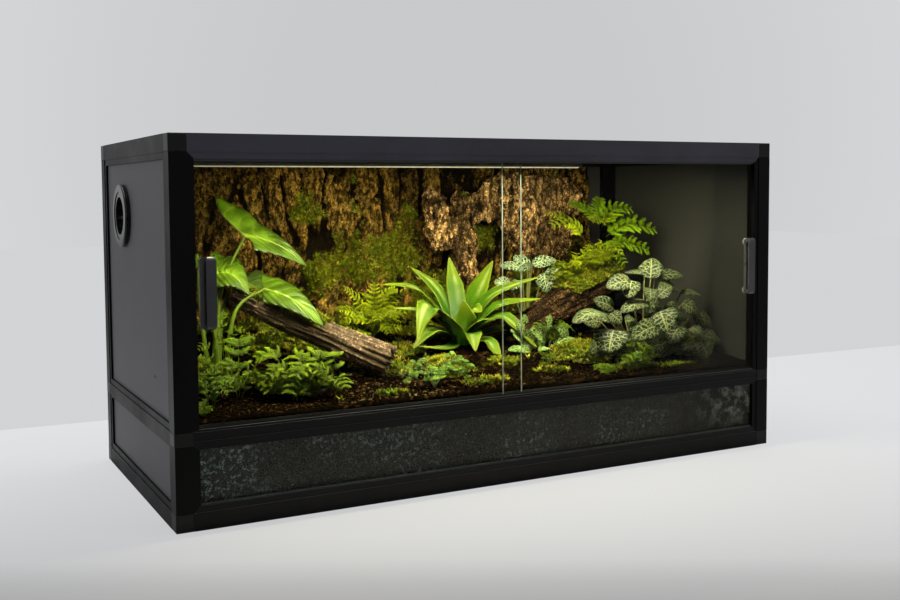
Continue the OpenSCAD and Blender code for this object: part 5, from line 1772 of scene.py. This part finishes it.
def scatter_litter(rng):
    """Chips and crumbs over the soil, closest together along the front."""
    templates = [crumb(random.Random(80 + i)) for i in range(5)]
    (x0, x1), (y0, y1) = LITTER
    places, shades = [], []
    for _ in range(CHIPS):
        x = rng.uniform(x0, x1)
        y = y0 + (y1 - y0) * rng.random() ** 1.8
        size = rng.uniform(1.8, 5.5) * (1.5 if rng.random() < 0.05 else 1.0)
        turn = Matrix.Rotation(rng.uniform(0, math.tau), 4, "Z") @ Matrix.Rotation(
            rng.uniform(-0.7, 0.7), 4, "X")
        places.append((rng.randrange(5), Matrix.Translation(at(x, y, ground(x, y) + 0.4))
                       @ turn @ Matrix.Diagonal((size * MM, size * MM, size * MM, 1))))
        warm = 0.15 * math.exp(-((x - 430) / 130) ** 2)
        shades.append(clamp(rng.random() * 0.9 + warm))
    object_of("leaf_litter", copies("leaf_litter", templates, places, shades), litter_look(),
              "soil")


class TERRARIUM_OT_broad(bpy.types.Operator):
    """Grow the arrow-leaved plant and the bromeliad"""

    bl_idname = "terrarium.broad"
    bl_label = "Grow the broad-leaved plants"

    def execute(self, context):
        tint = context.scene.terrarium_growth.leaf
        leaves = [arrow_leaf(*(Vector(p) for p in row[:4]), *row[4:]) for row in ARROW_LEAVES]
        green = leaf_look("arrow_leaf", times(tint, 0.93), 6.0, 0.34, 0.30, 0.2, 0.22)
        leaf_piece("arrow_leaves", leaves, green, "leaves", "arrowhead_plant", thick=0.7)
        stem_piece("arrow_stems", [(route, 4.6, 2.4) for route in ARROW_STEMS],
                   stem_look("leaf_stalk", (0.06, 0.10, 0.006)), "leaves")
        straps = []
        for *route, width in STRAPS:
            route = [at(*place) for place in route]
            out = (route[1] - at(*HEART)) * Vector((1, 1, 0.2))
            face = Vector((0, 0, 1.0)) - out.normalized() * 0.55 + Vector((0, -0.35, 0))
            straps.append(swept(route, width * MM, face.normalized(), strap, 0.34, 0.2, 0.02,
                                30, 8))
        leaf_piece("bromeliad_leaves", straps, strap_look(tint), "leaves", "bromeliad",
                   thick=1.2)
        return {"FINISHED"}


class TERRARIUM_OT_nerved(bpy.types.Operator):
    """Grow the white-veined plants and the low plant beside the bromeliad"""

    bl_idname = "terrarium.nerved"
    bl_label = "Grow the veined plants"

    def execute(self, context):
        rng = random.Random(context.scene.terrarium_growth.seed + 3)
        net = net_look("nerve_leaf", (0.005, 0.014, 0.003), (0.165, 0.185, 0.08), 15.0, 0.05,
                       0.95)
        silver = net_look("silver_leaf", (0.022, 0.055, 0.016), (0.44, 0.52, 0.29), 17.0, 0.06,
                          0.95)
        low = net_look("low_leaf", (0.022, 0.062, 0.005), (0.27, 0.36, 0.11), 15.0, 0.09, 0.85)
        stalk = stem_look("nerve_stalk", (0.16, 0.17, 0.05))
        back = []
        for _ in range(LARGE_LEAVES):
            x, y, above = (rng.uniform(*reach) for reach in LARGE_BUSH)
            z = bed(y) + above * (1 - abs(x - LARGE_CROWN[0]) / 190)
            turn = rng.uniform(0, math.tau)
            size = rng.uniform(34, 52)
            back.append(((x, y, z), (x + math.cos(turn) * size, y + math.sin(turn) * size * 0.4,
                                     z - rng.uniform(-8, 14)), rng.uniform(26, 38)))
        veined_plant(("nerve_leaves_large", "nerve_stems_large"), NERVED + tuple(back), rng,
                     (net, stalk), (2.0, 1.1), "veined_leaves", LARGE_CROWN,
                     "nerve_plant_large")
        veined_plant(("nerve_leaves_small", "nerve_stems_small"), NERVED_SMALL, rng,
                     (silver, stalk), (1.8, 1.0), "veined_leaves", SMALL_CROWN,
                     "nerve_plant_small")
        more = []
        for _ in range(LOW_LEAVES_MORE):
            x, y, z = (rng.uniform(*reach) for reach in LOW_BUSH)
            more.append(((x, y, z), (x + rng.uniform(-30, 30), y - rng.uniform(2, 14),
                                     z + rng.uniform(6, 44)), rng.uniform(13, 20)))
        veined_plant(("low_leaves", "low_stems"), LOW_LEAVES + tuple(more), rng, (low, stalk),
                     (1.6, 1.0), "leaves", LOW_CROWN, widen=1.35)
        return {"FINISHED"}


class TERRARIUM_OT_ferns(bpy.types.Operator):
    """Grow the ferns, the small herbs, the creeping plants and the litter under them"""

    bl_idname = "terrarium.ferns"
    bl_label = "Grow the ferns"

    def execute(self, context):
        growth = context.scene.terrarium_growth
        rng = random.Random(growth.seed + 9)
        tint = growth.fern
        fresh, dark, lime, mid = (
            leaf_look(name, (tint[0] * red, tint[1] * green, tint[2]), 5.0, 0.3, rough, 0.06, 0.1,
                      root)
            for name, red, green, rough, root in FERN_FINISHES)
        deep = Vector((-0.2, -0.55, 0.8))

        def fronds(rows, pairs, lobes):
            return [frond(route, breadth, pairs, rng, deep, lobes) for *route, breadth in rows]

        middle = fronds(CENTRE_FRONDS, 10, 3) + clump(rng, *CENTRE_CLUMP)
        leaf_piece("fern_centre_fronds", middle, lime, "ferns", "fern_centre", thick=0.4)
        # Painted light: the log fronds take the paler copy of the fern green.
        leaf_piece("fern_log_fronds", fronds(LOG_FRONDS[:6], 8, 2), mid, "ferns", "fern_right",
                   thick=0.4)
        tops = fronds(LOG_FRONDS[6:], 8, 2)
        (x0, x1), depth, height = LOG_CUSHION
        for _ in range(LOG_CLUMPS):
            x, y = rng.uniform(x0, x1), rng.uniform(*depth)
            tops += clump(rng, (x, y, lerp(*height, (x - x0) / (x1 - x0))), 4,
                          rng.uniform(18, 32), 1.3, 5, 0.42, 2)
        leaf_piece("fern_log_cushion", tops, lime, "ferns", thick=0.4)
        scatter_litter(rng)
        front = [part for row in DARK_CLUMPS for part in clump(rng, *row)]
        leaf_piece("fern_front_left", front, dark, "ferns", thick=0.4)
        bright = [part for row in BRIGHT_CLUMPS for part in clump(rng, *row)]
        bright += fronds(HERB_FRONDS, 6, 2)
        leaf_piece("fern_front_bright", bright, fresh, "ferns", "ferns_front", thick=0.4)
        self.creeper(rng)
        return {"FINISHED"}

    @staticmethod
    def creeper(rng):
        """Small leaves in pairs along thin stems that arch low over the ground."""
        leaves, lines = [], []
        for (x, y, z), number, reach, height, size in CREEPERS:
            for i in range(number):
                turn = math.tau * (i + rng.random() * 0.7) / number
                far = reach * rng.uniform(0.6, 1.05)
                dx, dy = math.cos(turn), math.sin(turn) * 0.36
                up = height * rng.uniform(0.5, 1.2)
                route = ((x, y, z - 3), (x + dx * far * 0.5, y + dy * far * 0.5, z + up),
                         (x + dx * far, y + dy * far, z + up * rng.uniform(0.1, 0.8)))
                lines.append((route, 0.9, 0.5))
                for foot in curve_points([Vector(p) for p in route], 6)[3::2]:
                    for side in (-1, 1):
                        angle = turn + side * rng.uniform(0.5, 1.2)
                        tip = foot + Vector((math.cos(angle) * size, math.sin(angle) * size * 0.7,
                                             rng.uniform(-2, 4)))
                        leaves.append((tuple(foot), tuple(tip), size * rng.uniform(0.42, 0.6)))
        green = leaf_look("creeper_leaf", (0.13, 0.26, 0.022), 5.0, 0.3, 0.42, 0.1, 0.2, 0.45)
        leaf_piece("creeper_leaves",
                   ovate(leaves, rng, Vector((-0.35, -0.85, 0.4)), along=5, across=4), green,
                   "ferns", "creeper", thick=0.3)
        stem_piece("creeper_stems", lines, stem_look("creeper_stalk", (0.10, 0.13, 0.04)), "ferns")


GROWING = (TERRARIUM_OT_ground, TERRARIUM_OT_bark, TERRARIUM_OT_logs, TERRARIUM_OT_moss,
           TERRARIUM_OT_broad, TERRARIUM_OT_nerved, TERRARIUM_OT_ferns)


# ------------------------------------------------------------------ panel and run


class TERRARIUM_PT_panel(bpy.types.Panel):
    """The steps that build the planted terrarium"""

    bl_idname = "TERRARIUM_PT_panel"
    bl_label = "Planted terrarium"
    bl_space_type = "VIEW_3D"
    bl_region_type = "UI"
    bl_category = "Terrarium"

    def draw(self, context):
        for step in STEPS:
            self.layout.operator(step.bl_idname, text=step.bl_label)
        for group in (context.scene.terrarium_finishes, context.scene.terrarium_growth,
                      context.scene.terrarium_stage):
            box = self.layout.box()
            for key in group.bl_rna.properties.keys():
                if key not in ("rna_type", "name"):
                    box.prop(group, key)


STEPS = (TERRARIUM_OT_stage, TERRARIUM_OT_cabinet, TERRARIUM_OT_glass, *GROWING)
CLASSES = (TerrariumFinishes, TerrariumGrowth, TerrariumStage, *STEPS, TERRARIUM_PT_panel)


def register():
    for cls in CLASSES:
        bpy.utils.register_class(cls)
    bpy.types.Scene.terrarium_finishes = PointerProperty(type=TerrariumFinishes)
    bpy.types.Scene.terrarium_growth = PointerProperty(type=TerrariumGrowth)
    bpy.types.Scene.terrarium_stage = PointerProperty(type=TerrariumStage)


def unregister():
    del bpy.types.Scene.terrarium_stage
    del bpy.types.Scene.terrarium_growth
    del bpy.types.Scene.terrarium_finishes
    for cls in reversed(CLASSES):
        bpy.utils.unregister_class(cls)


def main():
    """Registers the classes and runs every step."""
    register()
    for step in STEPS:
        group, name = step.bl_idname.split(".")
        getattr(getattr(bpy.ops, group), name)()


if __name__ == "__main__":
    main()
